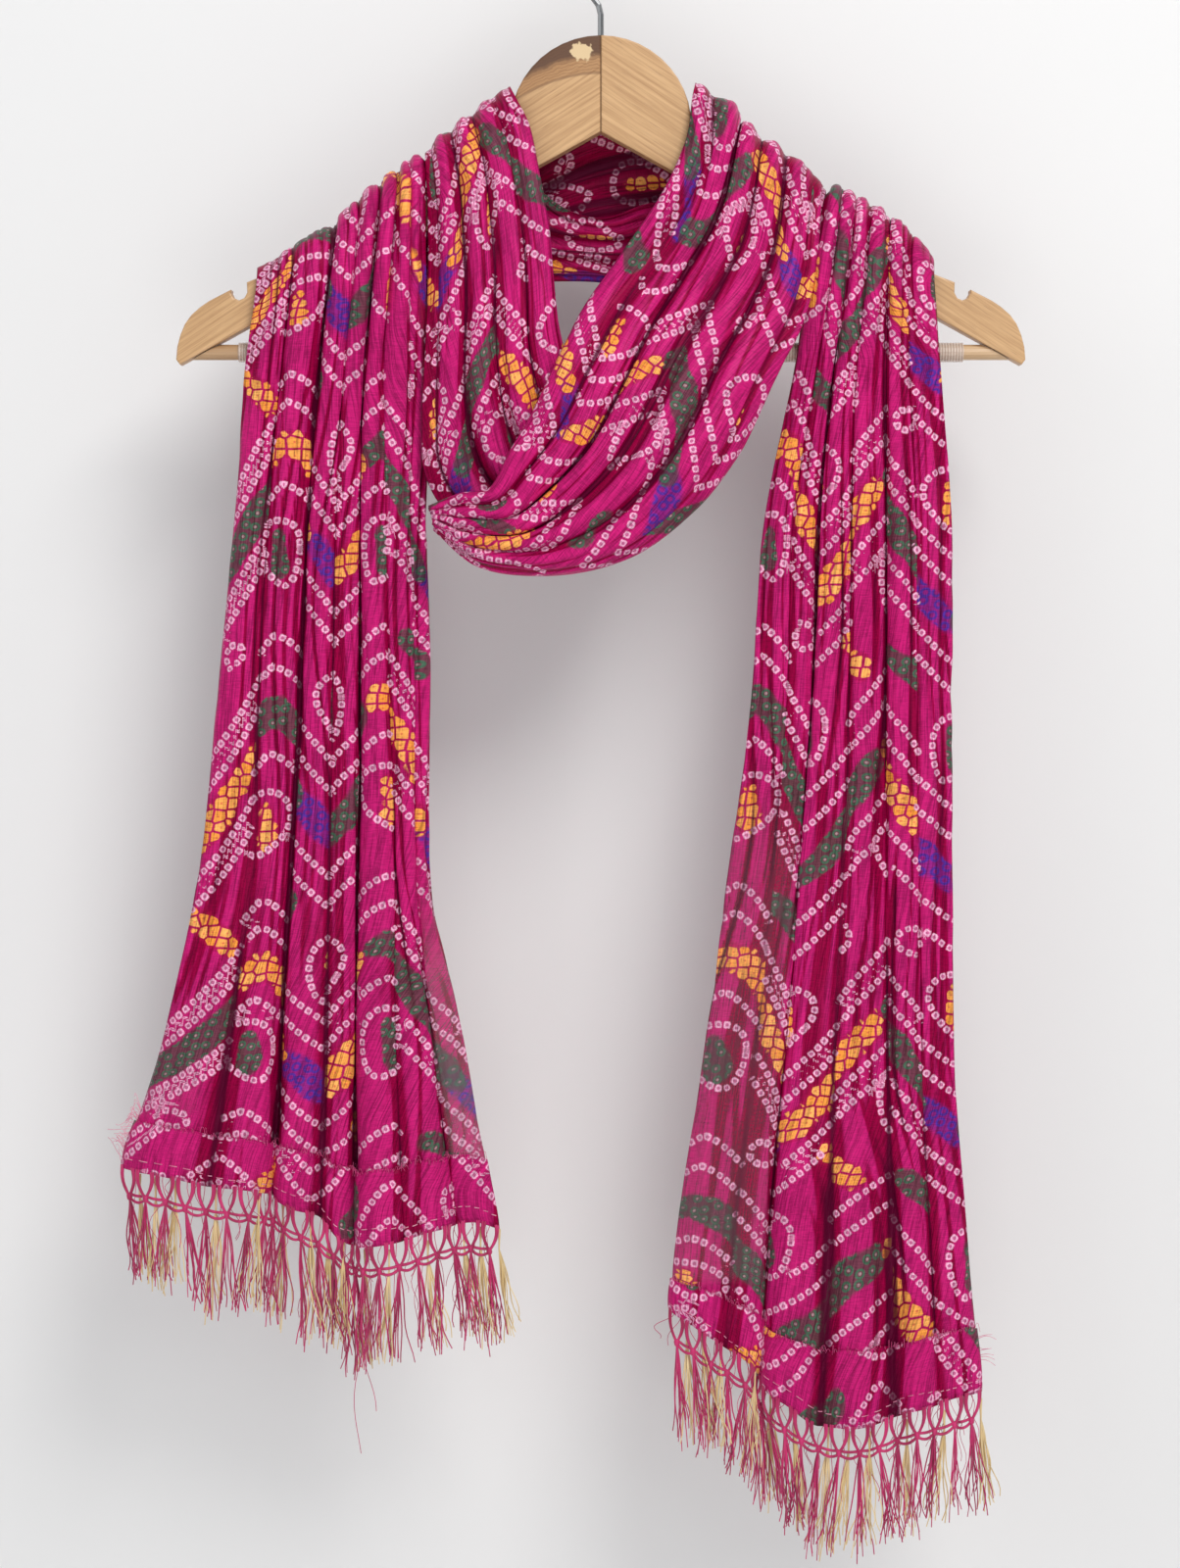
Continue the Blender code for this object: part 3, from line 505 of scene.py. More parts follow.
    def tie_line(self, flat, room=6.4):
        """Marks a line of tied dots along a flat path: side distance, run and true distance.

        It leaves out a stretch that has an earlier line within its room, or a patch.
        """
        flat = np.asarray(flat, float)
        size = np.concatenate([[0], np.cumsum(np.linalg.norm(np.diff(flat, axis=0), axis=1))])
        s = np.linspace(0, size[-1], max(3, int(size[-1] / LINE_STEP)))
        u = np.interp(s, size, flat[:, 0])
        v = np.interp(s, size, flat[:, 1])
        inside = (u > self.cut[0] - 1) & (u < self.cut[-1] + 1)
        inside &= (v > self.flat_v[0, 0] - 3) & (v < self.flat_v[0, -1] + 3)
        i, j = self.place(u, v)
        inside &= ~self.leap[np.clip(np.floor(i).astype(int), 0, len(self.leap) - 2)]
        p = self.at(i, j)
        walked = 0.0
        self.lines += 1
        a, b = self.points.shape[:2]
        for k in range(len(s) - 1):
            edge = p[k + 1] - p[k]
            long = float(np.linalg.norm(edge))
            ci, cj = min(int(round(i[k])), a - 1), min(int(round(j[k])), b - 1)
            taken = self.line[ci, cj] not in (0, self.lines) and self.dots[ci, cj, 2] < room
            taken = taken or self.patch[ci, cj, :2].max() > 0.5
            if not (inside[k] and inside[k + 1]) or taken or long < 0.15 or long > 9:
                walked += min(long, LINE_STEP)
                continue
            i0, i1 = max(ci - 8, 0), min(ci + 9, a)
            j0, j1 = max(cj - 3, 0), min(cj + 4, b)
            q = self.points[i0:i1, j0:j1] - p[k]
            t = edge / long
            along = q @ t
            side = np.cross(t, q)
            away = np.einsum("ijk,ijk->ij", side, self.normal[i0:i1, j0:j1])
            gap = np.linalg.norm(side, axis=2)
            over = np.maximum(np.maximum(-along, along - long), 0)
            far = np.sqrt(gap ** 2 + over ** 2)
            block = self.dots[i0:i1, j0:j1]
            new = np.stack([np.where(away < 0, -gap, gap), walked + along, far], axis=2)
            near = (far < block[..., 2]) & (far < LINE_REACH)
            self.dots[i0:i1, j0:j1] = np.where(near[..., None], new, block)
            self.line[i0:i1, j0:j1] = np.where(near, self.lines, self.line[i0:i1, j0:j1])
            walked += long

    def blob(self, kind, path, widths, seed):
        """Marks a patch of tied cells round a path, or a soft tinted patch."""
        path = np.asarray(path, float)
        best = np.full(self.cut_u.shape, -UNPRINTED)
        for k in range(len(path) - 1):
            a, b = path[k], path[k + 1]
            ab = b - a
            size = max(float(ab @ ab), 1e-6)
            t = np.clip(((self.cut_u - a[0]) * ab[0] + (self.flat_v - a[1]) * ab[1]) / size, 0, 1)
            du = self.cut_u - a[0] - t * ab[0]
            dv = self.flat_v - a[1] - t * ab[1]
            half = widths[k] + t * (widths[k + 1] - widths[k])
            best = np.maximum(best, half - np.sqrt(du ** 2 + dv ** 2))
        best += 4.0 * (grain(self.cut_u / 12, self.flat_v / 12, seed) - 0.5)
        self.patch[..., kind] = np.maximum(self.patch[..., kind], best)


def lane(u, row, phase, seed):
    """Height of a rounded zigzag lane on the flat cloth, at u across it."""
    t = (u / WAVE + phase) % 1.0
    zig = np.abs(2 * t - 1)
    zig = 0.5 * zig + 0.5 * zig * zig * (3 - 2 * zig)
    sway = 34 * (grain(u / 120, u * 0 + row / 190, seed) - 0.5)
    return row + 78.0 * zig + sway


def leaf(cu, cv, half_u, half_v, turn, gather):
    """A closed drop-shaped path, drawn wide by the gather so that it hangs in shape."""
    a = np.linspace(0, 2 * math.pi, 44)
    x = half_u * np.cos(a) * (1 - 0.38 * np.sin(a))
    y = half_v * np.sin(a)
    c, s = math.cos(turn), math.sin(turn)
    return np.stack([cu + gather * (c * x - s * y), cv + s * x + c * y], axis=1)


def curl(cu, cv, size, turn, gather):
    """A small hooked path."""
    a = np.linspace(0, 1.6 * math.pi, 26)
    r = size * (1 - 0.5 * a / (1.6 * math.pi))
    return np.stack([cu + gather * r * np.cos(a + turn), cv + r * np.sin(a + turn)], axis=1)


def tie_dye(cloth, phase, seed):
    """Lays out the patches, drops, curls and tied lines of the print on a stretch."""
    start, wide, gather = cloth.cut[0], cloth.cut[-1], cloth.gather
    low, high = cloth.flat_v[0, 0], cloth.flat_v[0, -1]

    def motif_at(across, row):
        return float(lane(np.array([across]), row + 97.0, phase, seed)[0])

    u = np.linspace(start - 2, wide + 2, 220)
    rows = range(math.floor((low - 150) / PERIOD), math.ceil((high + 20) / PERIOD) + 1)
    waves = range(-1, int(wide / WAVE) + 2)
    for n in rows:
        for k in waves:
            u0 = (k - phase) * WAVE
            flip = (n + k) % 2
            parts = ((flip, 0.02, 0.40, 9.5), (1 - flip, 0.44, 0.84, 9.0), (TINT, 0.84, 1.0, 9.0))
            for kind, a, b, half in parts:
                across = np.linspace(u0 + a * WAVE, u0 + b * WAVE, 9)
                drop = lane(across, n * PERIOD + 36.0, phase, seed)
                fat = half * np.sin(np.linspace(0.5, math.pi - 0.5, 9)) ** 0.5
                cloth.blob(kind, np.stack([across, drop], axis=1), fat, seed + n + k)
    for n in rows:
        row = n * PERIOD
        for k in waves:
            u0 = (k - phase) * WAVE
            for peak, sign in ((0.5, 1), (1.0, -1)):
                cu = u0 + peak * WAVE
                cv = motif_at(cu, row) - 5.0 * sign
                tilt = 0.35 if (n + k + sign) % 2 else -0.3
                kind = ORANGE if (n + sign) % 2 else GREEN
                cloth.blob(kind, [(cu - 1, cv - 7), (cu + 1, cv + 6)], (5.5, 8.0), seed + 3 * n + k)
                cloth.tie_line(leaf(cu, cv, 12.0, 17.5, tilt, gather))
            for part, size, kind in ((0.25, 7.0, ORANGE), (0.75, 8.0, GREEN)):
                cu = u0 + part * WAVE
                cv = motif_at(cu, row)
                if (n + k) % 2:
                    cloth.tie_line(curl(cu, cv, size, 2.2 * k + n + part * 5, gather))
                else:
                    cloth.blob(kind, [(cu - 14, cv - 6), (cu + 14, cv + 8)], (6.0, 8.0), seed + n)
        for offset in (0.0, 15.0, 57.0):
            cloth.tie_line(np.stack([u, lane(u, row + offset, phase, seed)], axis=1))
        cloth.tie_line(np.stack([u, lane(u, row + 72.0, phase, seed)], axis=1), 8.0)


def mesh_of(name, bm):
    """A mesh from a finished bmesh."""
    mesh = bpy.data.meshes.new(name)
    bm.to_mesh(mesh)
    bm.free()
    return mesh


def add_piece(name, mesh, paint, slot=None, smooth=True):
    """An object for a mesh in one paint. With a slot it is a piece of the body."""
    mesh.materials.clear()
    mesh.materials.append(paint)
    mesh.polygons.foreach_set("use_smooth", np.full(len(mesh.polygons), smooth))
    thing = bpy.data.objects.new(name, mesh)
    bpy.context.scene.collection.objects.link(thing)
    if slot:
        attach(thing, BODY)
    return thing


def cloth_piece(cloth):
    """The mesh of a stretch in place of its solid, with its flat places and its print."""
    name = "cloth_" + cloth.name
    a, b = cloth.points.shape[:2]
    bm = bmesh.new()
    bmesh.ops.create_grid(bm, x_segments=a - 1, y_segments=b - 1, size=1.0)
    mesh = mesh_of(name, bm)
    square = np.empty(a * b * 3)
    mesh.vertices.foreach_get("co", square)
    square = square.reshape(-1, 3)
    i = np.rint((square[:, 0] + 1) / 2 * (a - 1)).astype(int)
    j = np.rint((square[:, 1] + 1) / 2 * (b - 1)).astype(int)
    mesh.vertices.foreach_set("co", (cloth.points[i, j] * MM).ravel())
    corner = np.empty(len(mesh.loops), np.int32)
    mesh.loops.foreach_get("vertex_index", corner)
    places = np.stack([cloth.across[i, j], cloth.flat_v[i, j]], axis=1)[corner] * MM
    mesh.uv_layers.new(name="cloth").data.foreach_set("uv", places.ravel())
    for label, kind, key in (("dots", "FLOAT_VECTOR", "vector"), ("patch", "FLOAT_VECTOR", "vector"),
                             ("sheer", "FLOAT", "value"), ("painted_shade", "FLOAT", "value")):
        layer = mesh.attributes.new(label, kind, "POINT")
        layer.data.foreach_set(key, getattr(cloth, label)[i, j].ravel())
    mesh.update()
    if mesh.polygons[len(mesh.polygons) // 2].normal.dot(cloth.normal[a // 2, b // 2]) < 0:
        mesh.flip_normals()
    thing = add_piece(name, mesh, cloth_paint, "cloth")
    skin = thing.modifiers.new("skin", "SOLIDIFY")
    skin.thickness = SKIN * MM
    skin.offset = 0.0
    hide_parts(cloth.name)
    return thing


# Shader helpers
def worked(operation, swapped=False):
    """A sum or product of a wire and another wire or number."""
    def work(wire, other):
        pair = (other, wire) if swapped else (wire, other)
        return wire.nodes.math(operation, *pair)
    return work


class Wire:
    """What a shader node gives, which can be added, taken off, multiplied and so on."""

    def __init__(self, nodes, socket):
        self.nodes = nodes
        self.socket = socket

    def __abs__(self):
        return self.nodes.math("ABSOLUTE", self)

    __add__ = worked("ADD")
    __sub__ = worked("SUBTRACT")
    __rsub__ = worked("SUBTRACT", swapped=True)
    __mul__ = worked("MULTIPLY")
    __truediv__ = worked("DIVIDE")
    __pow__ = worked("POWER")


class Nodes:
    """Short names for adding shader nodes to a tree."""

    def __init__(self, tree):
        self.tree = tree

    def add(self, kind, **settings):
        node = self.tree.nodes.new(kind)
        for key, value in settings.items():
            setattr(node, key, value)
        return node

    def out(self, node, key=0):
        return Wire(self, node.outputs[key])

    def join(self, source, target):
        """Links a wire to a socket, or sets a plain value there. Colours have three numbers."""
        if isinstance(source, Wire):
            self.tree.links.new(source.socket, target)
        else:
            target.default_value = (*source, 1.0) if target.type == "RGBA" else source

    def math(self, operation, *values, clamp=False):
        node = self.add("ShaderNodeMath", operation=operation, use_clamp=clamp)
        for value, socket in zip(values, node.inputs):
            self.join(value, socket)
        return self.out(node)

    def mix(self, share, a, b, blend="MIX"):
        node = self.add("ShaderNodeMix", data_type="RGBA", blend_type=blend)
        for value, k in ((share, 0), (a, 6), (b, 7)):
            self.join(value, node.inputs[k])
        return self.out(node, 2)

    def ease(self, value, low, high, start=0.0, end=1.0):
        node = self.add("ShaderNodeMapRange", interpolation_type="SMOOTHSTEP")
        for k, number in enumerate((value, low, high, start, end)):
            self.join(number, node.inputs[k])
        return self.out(node)

    def scale(self, vector, by):
        node = self.add("ShaderNodeVectorMath", operation="MULTIPLY")
        self.join(vector, node.inputs[0])
        node.inputs[1].default_value = by
        return self.out(node)

    def noise(self, vector, scale, detail=2.0, rough=0.5):
        node = self.add("ShaderNodeTexNoise")
        for key, value in zip(("Vector", "Scale", "Detail", "Roughness"), (vector, scale, detail, rough)):
            self.join(value, node.inputs[key])
        return self.out(node, "Fac")

    def split(self, vector):
        node = self.add("ShaderNodeSeparateXYZ")
        self.join(vector, node.inputs[0])
        return [self.out(node, k) for k in range(3)]

    def stored(self, name, key="Fac"):
        return self.out(self.add("ShaderNodeAttribute", attribute_name=name), key)

    def place(self):
        return self.out(self.add("ShaderNodeTexCoord"), "Object")

    def group(self, tree, **values):
        node = self.add("ShaderNodeGroup")
        node.node_tree = tree
        for key, value in values.items():
            self.join(value, node.inputs[key])
        return [self.out(node, k) for k in range(len(node.outputs))]

    def bump(self, height, depth, strength, sockets):
        node = self.add("ShaderNodeBump")
        node.inputs["Strength"].default_value = strength
        node.inputs["Distance"].default_value = depth * MM
        self.join(height, node.inputs["Height"])
        self.join(self.out(node), sockets["Normal"])


def new_group(name, takes, gives):
    """A node group with its sockets, ready to fill."""
    tree = bpy.data.node_groups.new(name, "ShaderNodeTree")
    for way, sockets in (("INPUT", takes), ("OUTPUT", gives)):
        for label, kind in sockets.items():
            tree.interface.new_socket(name=label, in_out=way, socket_type="NodeSocket" + kind)
    n = Nodes(tree)
    inside = n.add("NodeGroupInput")
    return n, [n.out(inside, label) for label in takes], n.add("NodeGroupOutput").inputs


def new_paint(name, rough, **plain):
    """A material and its shader sockets. Plain values are set straight on them."""
    paint = bpy.data.materials.new(name)
    paint.use_nodes = True
    sockets = paint.node_tree.nodes["Principled BSDF"].inputs
    sockets["Roughness"].default_value = rough
    for key, value in plain.items():
        sockets[key.replace("_", " ")].default_value = value
    return paint, Nodes(paint.node_tree), sockets


# Shared effects
def build_tie_dye():
    """Tied dots, orange and green cells and tinted patches over a ground colour."""
    n, (place, dots, patch, ground), give = new_group(
        "tie_dye", {"Place": "Vector", "Dots": "Vector", "Patch": "Vector", "Ground": "Color"},
        {"Color": "Color"})
    place = n.scale(place, (1000.0, 1000.0, 0.0))
    side, run, far = n.split(dots)
    orange, green, tint = n.split(patch)
    wobble = n.noise(place, 0.55, 1.0)
    fuzz = (n.noise(place, 2.2, 2.0) - 0.5) * 1.1

    # Square dots in a row, each a little out of line
    step = run / DOT_STEP
    pick = n.add("ShaderNodeTexWhiteNoise", noise_dimensions="1D")
    n.join(n.math("FLOOR", step), pick.inputs["W"])
    pick = n.out(pick, "Value")
    p = (n.math("FRACT", step) - 0.5) * DOT_STEP + (pick - 0.5) * 0.7
    q = side + (wobble - 0.5) * 0.9
    square = (abs(p) ** DOT_CORNER + abs(q) ** DOT_CORNER) ** (1 / DOT_CORNER) + fuzz
    dot = n.ease(square - (pick * 0.32 + DOT_HALF), 0.3, -0.3) * n.math("LESS_THAN", far, 3.4)
    hole = n.ease((p ** 2.0 + q ** 2.0) ** 0.5 + fuzz * 0.4, 1.2, 0.7)

    # Cells of the patches
    cells = n.scale(place, (1 / CELL, 1 / CELL, 0.0))
    found = []
    for feature in ("F1", "DISTANCE_TO_EDGE"):
        node = n.add("ShaderNodeTexVoronoi", voronoi_dimensions="2D", feature=feature)
        for key, value in (("Vector", cells), ("Scale", 1.0), ("Randomness", 0.42)):
            n.join(value, node.inputs[key])
        found.append(node)
    centre, border = [n.out(node, "Distance") * CELL for node in found]
    shade = n.split(n.out(found[0], "Color"))[0]

    # Purple tint, grey-green cells, orange cells, pink dots
    base = n.mix(n.ease(tint, -1.5, 3.0, 0.0, 0.66), ground, (0.15, 0.018, 0.22))
    bruise = n.ease(abs(centre - 1.9), 0.95, 0.35) * n.ease(tint, 0.0, 1.5, 0.0, 0.8)
    base = n.mix(bruise, base, (0.045, 0.028, 0.30))
    base = n.mix(n.ease(green, -0.8, 1.8) * 0.84, base, (0.085, 0.045, 0.05))
    ring = n.ease(abs(centre - 1.75), 0.85, 0.3) * n.ease(green, 0.0, 1.0)
    base = n.mix(ring * 0.9, base, (0.045, 0.135, 0.08))
    speck = n.ease(centre, 0.95, 0.45) * n.ease(green, 0.3, 1.2)
    base = n.mix(speck * 0.7, base, (0.42, 0.30, 0.30))
    base = n.mix(n.ease(orange, -0.8, 1.2, 0.0, 0.55), base, (0.36, 0.006, 0.045))
    need = n.math("MAXIMUM", 2.2 - orange, 0.0) * 0.75 + 0.56
    amber = n.ease(border + fuzz * 0.4 - need, -0.25, 0.35) * n.ease(orange, -0.4, 0.4)
    gold = n.mix(shade, (0.86, 0.30, 0.045), (0.93, 0.44, 0.12))
    gold = n.mix(n.ease(centre, 0.8, 0.35, 0.0, 0.6), gold, (0.6, 0.06, 0.06))
    base = n.mix(amber, base, gold)
    pale = n.mix(hole * 0.75, (0.84, 0.44, 0.62), (0.40, 0.015, 0.14))
    n.join(n.mix(dot * 0.94, base, pale), give["Color"])
    return n.tree


def build_silk():
    """Slubs, threads and fine creases of crinkled art silk: a tone and a height. The tone is partly the
    threads' own colour and partly painted sheen, and darker along the fine creases as painted shade.
    """
    n, (place,), give = new_group("crinkled_silk", {"Place": "Vector"}, {"Tone": "Float", "Height": "Float"})
    slub = n.noise(n.scale(place, (1400.0, 60.0, 0.0)), 1.0, 3.0, 0.6)
    cross = n.noise(n.scale(place, (220.0, 1500.0, 0.0)), 1.0, 2.0, 0.6)
    crease = n.noise(n.scale(place, (330.0, 9.0, 0.0)), 1.0, 3.0, 0.65)
    line = n.ease(abs(crease - 0.5), 0.045, 0.0)
    tone = slub * 0.55 + cross * 0.45
    # Painted shade: the tone darker along the fine creases, which also dip in the height.
    n.join(tone - line * 0.15, give["Tone"])
    n.join(crease + tone * 0.22 - line * 0.3, give["Height"])
    return n.tree


def build_wood():
    """Straight grain along a turned direction, with pores and a darker late wood."""
    n, (place,), give = new_group("wood_grain", {"Place": "Vector"}, {"Grain": "Float", "Pore": "Float"})
    bend = n.noise(n.scale(place, (6.0, 6.0, 16.0)), 1.0, 1.0)
    rings = n.math("SINE", n.split(place)[2] * 2100.0 + bend * 19.0)
    fibre = n.noise(n.scale(place, (22.0, 200.0, 760.0)), 1.0, 4.0, 0.7)
    n.join((rings * 0.5 + 0.5) ** 2.5 * 0.08 + fibre * 0.9, give["Grain"])
    pore = n.noise(n.scale(place, (75.0, 1200.0, 2400.0)), 1.0, 1.0, 0.5)
    n.join(n.ease(pore, 0.68, 0.78), give["Pore"])
    return n.tree


TIE_DYE, SILK, WOOD_GRAIN = build_tie_dye(), build_silk(), build_wood()


# Paints
def silk_paint(name, ground):
    """Printed silk, with a painted highlight on the crests and painted shade in the hollows."""
    paint, n, sockets = new_paint(name, 0.33, Sheen_Weight=0.02, Sheen_Roughness=0.3,
                                  Sheen_Tint=(1.0, 0.15, 0.45, 1.0), Specular_IOR_Level=0.12,
                                  Specular_Tint=(1.0, 0.38, 0.66, 1.0))
    place = n.out(n.add("ShaderNodeUVMap", uv_map="cloth"))
    tone, height = n.group(SILK, Place=place)
    painted_shade = n.stored("painted_shade")
    # Painted highlight: where the painted shade is low, on the crests, the ground is mixed towards a lighter
    # pink magenta.
    color = n.mix(n.ease(painted_shade, 0.21, 0.0, 0.0, 0.42), ground, (0.80, 0.028, 0.28))
    color = n.group(TIE_DYE, Place=place, Dots=n.stored("dots", "Vector"),
                    Patch=n.stored("patch", "Vector"), Ground=color)[0]
    # The silk's tone multiplied over the colour: uneven thread colour with painted sheen, and painted shade
    # along the fine creases.
    shade = n.ease(tone, 0.24, 0.70, 0.56, 1.44)
    gray = n.add("ShaderNodeCombineColor")
    for k in range(3):
        n.join(shade, gray.inputs[k])
    color = n.mix(1.0, color, n.out(gray), "MULTIPLY")
    # Painted shade: the hollows mixed towards a near black magenta.
    color = n.mix(n.ease(painted_shade, 0.31, 0.88, 0.0, 0.9), color, (0.065, 0.0003, 0.016))
    n.join(color, sockets["Base Color"])
    open_weave = n.ease(tone, 0.3, 0.7, 1.15, 0.85)
    n.join(n.math("SUBTRACT", 1.0, n.stored("sheer") * open_weave, clamp=True), sockets["Alpha"])
    n.bump(height, 0.5, 0.9, sockets)
    return paint


def thread_paint(name, color, deep):
    """Spun thread, uneven in colour along its run."""
    paint, n, sockets = new_paint(name, 0.55, Sheen_Weight=0.3, Sheen_Roughness=0.4)
    place = n.place()
    tone = n.noise(n.scale(place, (220.0, 220.0, 22.0)), 1.0, 2.0)
    twist = n.noise(n.scale(place, (1500.0, 1500.0, 900.0)), 1.0, 1.0)
    n.join(n.mix(n.ease(tone, 0.3, 0.7), deep, color), sockets["Base Color"])
    n.bump(twist, 0.12, 0.6, sockets)
    return paint


def add_knot(n, place, color):
    """The dark knot at the top of the left half, over a curved edge, with a pale chip in it."""
    x, y, z = n.split(place)
    wobble = (n.noise(place, 190.0, 2.0) - 0.5) * 0.004
    rise = z - KNOT_EDGE_Z + n.math("MINIMUM", abs(x), 0.045) ** 2.0 * 7.0
    ring = n.math("SINE", (rise + wobble) * 3600.0)
    color = n.mix(n.ease(rise, -0.0002, 0.0009, 0.0, 0.62), color, (0.36, 0.17, 0.06))
    color = n.mix(n.ease(ring, 0.2, 1.0, 0.0, 0.4) * n.ease(rise, 0.0, 0.001), color, (0.17, 0.07, 0.025))
    color = n.mix(n.ease(abs(rise), 0.0011, 0.0003, 0.0, 0.6), color, (0.18, 0.08, 0.03))
    color = n.mix(n.ease(rise + wobble, 0.0062, 0.0112, 0.0, 0.9), color, (0.085, 0.032, 0.014))
    (chip_x, chip_z), (half_x, half_z) = CHIP
    chip = (((x - chip_x) / half_x) ** 2.0 + ((z - chip_z) / half_z) ** 2.0) ** 0.5
    chip = chip + (n.noise(place, 420.0, 1.0) - 0.5) * 1.3
    front = n.ease(y, -0.003, -0.005)
    return n.mix(n.ease(chip, 1.1, 0.85, 0.0, 0.95) * front, color, (0.74, 0.55, 0.31))


def wood_paint(name, light, dark, lean, knot=False):
    """Oiled wood whose grain leans by an angle in degrees."""
    paint, n, sockets = new_paint(name, 0.42, Coat_Weight=0.12, Coat_Roughness=0.3)
    place = n.place()
    turn = n.add("ShaderNodeMapping", vector_type="TEXTURE")
    turn.inputs["Rotation"].default_value = (0.0, math.radians(lean), 0.0)
    n.join(place, turn.inputs["Vector"])
    turned = n.out(turn)
    strands, pore = n.group(WOOD_GRAIN, Place=turned)
    color = n.mix(n.ease(strands, 0.24, 0.74), light, dark)
    blotch = n.noise(n.scale(turned, (7.0, 7.0, 30.0)), 1.0, 2.0)
    color = n.mix(n.ease(blotch, 0.5, 0.7, 0.0, 0.6), color, (0.33, 0.17, 0.07))
    color = n.mix(pore * 0.55, color, (0.24, 0.12, 0.05))
    if knot:
        color = add_knot(n, place, color)
    n.join(color, sockets["Base Color"])
    n.join(n.ease(strands, 0.2, 0.8, 0.36, 0.5), sockets["Roughness"])
    n.bump(strands - pore, 0.12, 0.35, sockets)
    return paint


def steel_paint():
    """Drawn steel wire."""
    paint, n, sockets = new_paint("drawn_steel", 0.28, Metallic=1.0)
    haze = n.noise(n.scale(n.place(), (900.0, 900.0, 120.0)), 1.0, 2.0)
    n.join(n.mix(haze, (0.17, 0.175, 0.18), (0.33, 0.335, 0.34)), sockets["Base Color"])
    n.join(n.ease(haze, 0.3, 0.7, 0.2, 0.38), sockets["Roughness"])
    return paint


def sleeve_paint():
    """Clear tube with fine ribs round it."""
    paint, n, sockets = new_paint("ribbed_clear_sleeve", 0.2, Specular_IOR_Level=0.6)
    rib = n.math("SINE", n.split(n.place())[0] * 4200.0) * 0.5 + 0.5
    n.join(n.mix(rib, (0.66, 0.50, 0.40), (0.80, 0.68, 0.58)), sockets["Base Color"])
    n.join(n.ease(rib, 0.0, 1.0, 0.42, 0.62), sockets["Alpha"])
    n.bump(rib, 0.25, 0.5, sockets)
    return paint


cloth_paint = silk_paint("magenta_art_silk", (0.25, 0.0001, 0.038))
thread_magenta = thread_paint("magenta_thread", (0.60, 0.018, 0.15), (0.36, 0.005, 0.075))
thread_cream = thread_paint("cream_gold_thread", (0.86, 0.68, 0.38), (0.64, 0.45, 0.20))
thread_pink = thread_paint("frayed_pink_thread", (0.80, 0.34, 0.46), (0.62, 0.10, 0.24))
thread_fuzz = thread_paint("raw_edge_thread", (0.66, 0.07, 0.24), (0.48, 0.01, 0.12))

# Hanger keeps its solids and gets its finishes
light_wood, dark_wood = (0.67, 0.42, 0.21), (0.43, 0.235, 0.10)
finishes = {
    "hanger_half_left": wood_paint("left_half_wood", light_wood, dark_wood, -33, knot=True),
    "hanger_half_right": wood_paint("right_half_wood", light_wood, dark_wood, 33),
    "hanger_bar": wood_paint("bar_wood", (0.66, 0.46, 0.27), (0.5, 0.31, 0.16), 0),
    "hook": steel_paint(),
    "bar_sleeve": sleeve_paint(),
}
for node, paint in finishes.items():
    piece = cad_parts[node]
    piece.data.materials.clear()
    piece.data.materials.append(paint)


def seam_glue():
    """Glue line in the seam between the halves, a little in from its edges."""
    left, right = [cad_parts["hanger_half_" + side].data.vertices for side in ("left", "right")]
    seam = max(v.co.x for v in left), min(v.co.x for v in right)
    heights = [v.co.z for v in left if v.co.x > seam[0] - 0.0005]
    low, high = min(heights) + 0.0003, max(heights) - 0.0003
    bm = bmesh.new()
    bmesh.ops.create_cube(bm, size=1.0)
    for v in bm.verts:
        v.co.x = (seam[0] + seam[1]) / 2 + v.co.x * (seam[1] - seam[0]) * 0.96
        v.co.y = v.co.y * GLUE_DEEP * MM
        v.co.z = (low + high) / 2 + v.co.z * (high - low)
    paint, n, sockets = new_paint("brown_glue", 0.6)
    n.join((0.22, 0.12, 0.055), sockets["Base Color"])
    add_piece("seam_glue", mesh_of("seam_glue", bm), paint, "wood", smooth=False)


seam_glue()


# Cloth in front
left_net = tail_net(LEFT_TAIL, LEFT_LEVELS, 10.0, 13.0)
right_net = tail_net(RIGHT_TAIL, RIGHT_LEVELS, 10.5, 10.0)
cowl_net = band_net(COWL_FOLDS, COWL_RAILS, 10.5, 15.5, (-118.0, -169.5))
loop_net = band_net(LOOP_FOLDS, LOOP_RAILS, 10.5, 10.0, (-118.0, -155.0))
tail_left = Cloth("tail_left")
tail_left.fold(LEFT_TAIL, left_net, 11, 1.4, under=(1, 6.0, 3.2, -290.0, -325.0))
tail_right = Cloth("tail_right")
tail_right.fold(RIGHT_TAIL, right_net, 23, 1.45, ("deep_2",), under=(-1, 5.5, 3.0, -205.0, -238.0))
cowl_front = Cloth("cowl_front")
cowl_front.fold(COWL_FOLDS, cowl_net, 37, 1.75, crush=0.72)
cowl_left = Cloth("cowl_left")
cowl_left.fold(LOOP_FOLDS, loop_net, 51, 1.7, crush=0.72)


# Cloth behind the neck
def wrap_cloth(name, left, right, rails, seed):
    """A stretch behind the neck, from the back edge of one crest to that of the other."""
    u = np.linspace(0.0, 1.0, 110)
    ends = [through(np.linspace(0, 1, len(edge)), edge - point(0, 0, 0.3), u) for edge in (left, right)]
    share, lift = zip(*WRAP_PLEATS)
    pleat = through(share, lift, u)
    drop = point(0, 0, 3.5)
    lines = [ends[0], ends[0] - drop]
    for ax, az, ay, bx, bz, by in rails:
        lines.append(np.stack([ax + u * (bx - ax), ay + u * (by - ay) + pleat, az + u * (bz - az)], axis=1))
    lines += [ends[1] - drop, ends[1]]
    net = np.array(lines).transpose(1, 0, 2)
    knots = lengths(net)
    v = np.linspace(0, knots[-1], int(knots[-1] / ROW) + 1)
    cloth = Cloth(name)
    plain = through(knots, net.transpose(1, 0, 2), v, soft=False).transpose(1, 0, 2)
    cloth.set_points(plain, v, seed, 0.7, 1.9, toward=1)
    return cloth


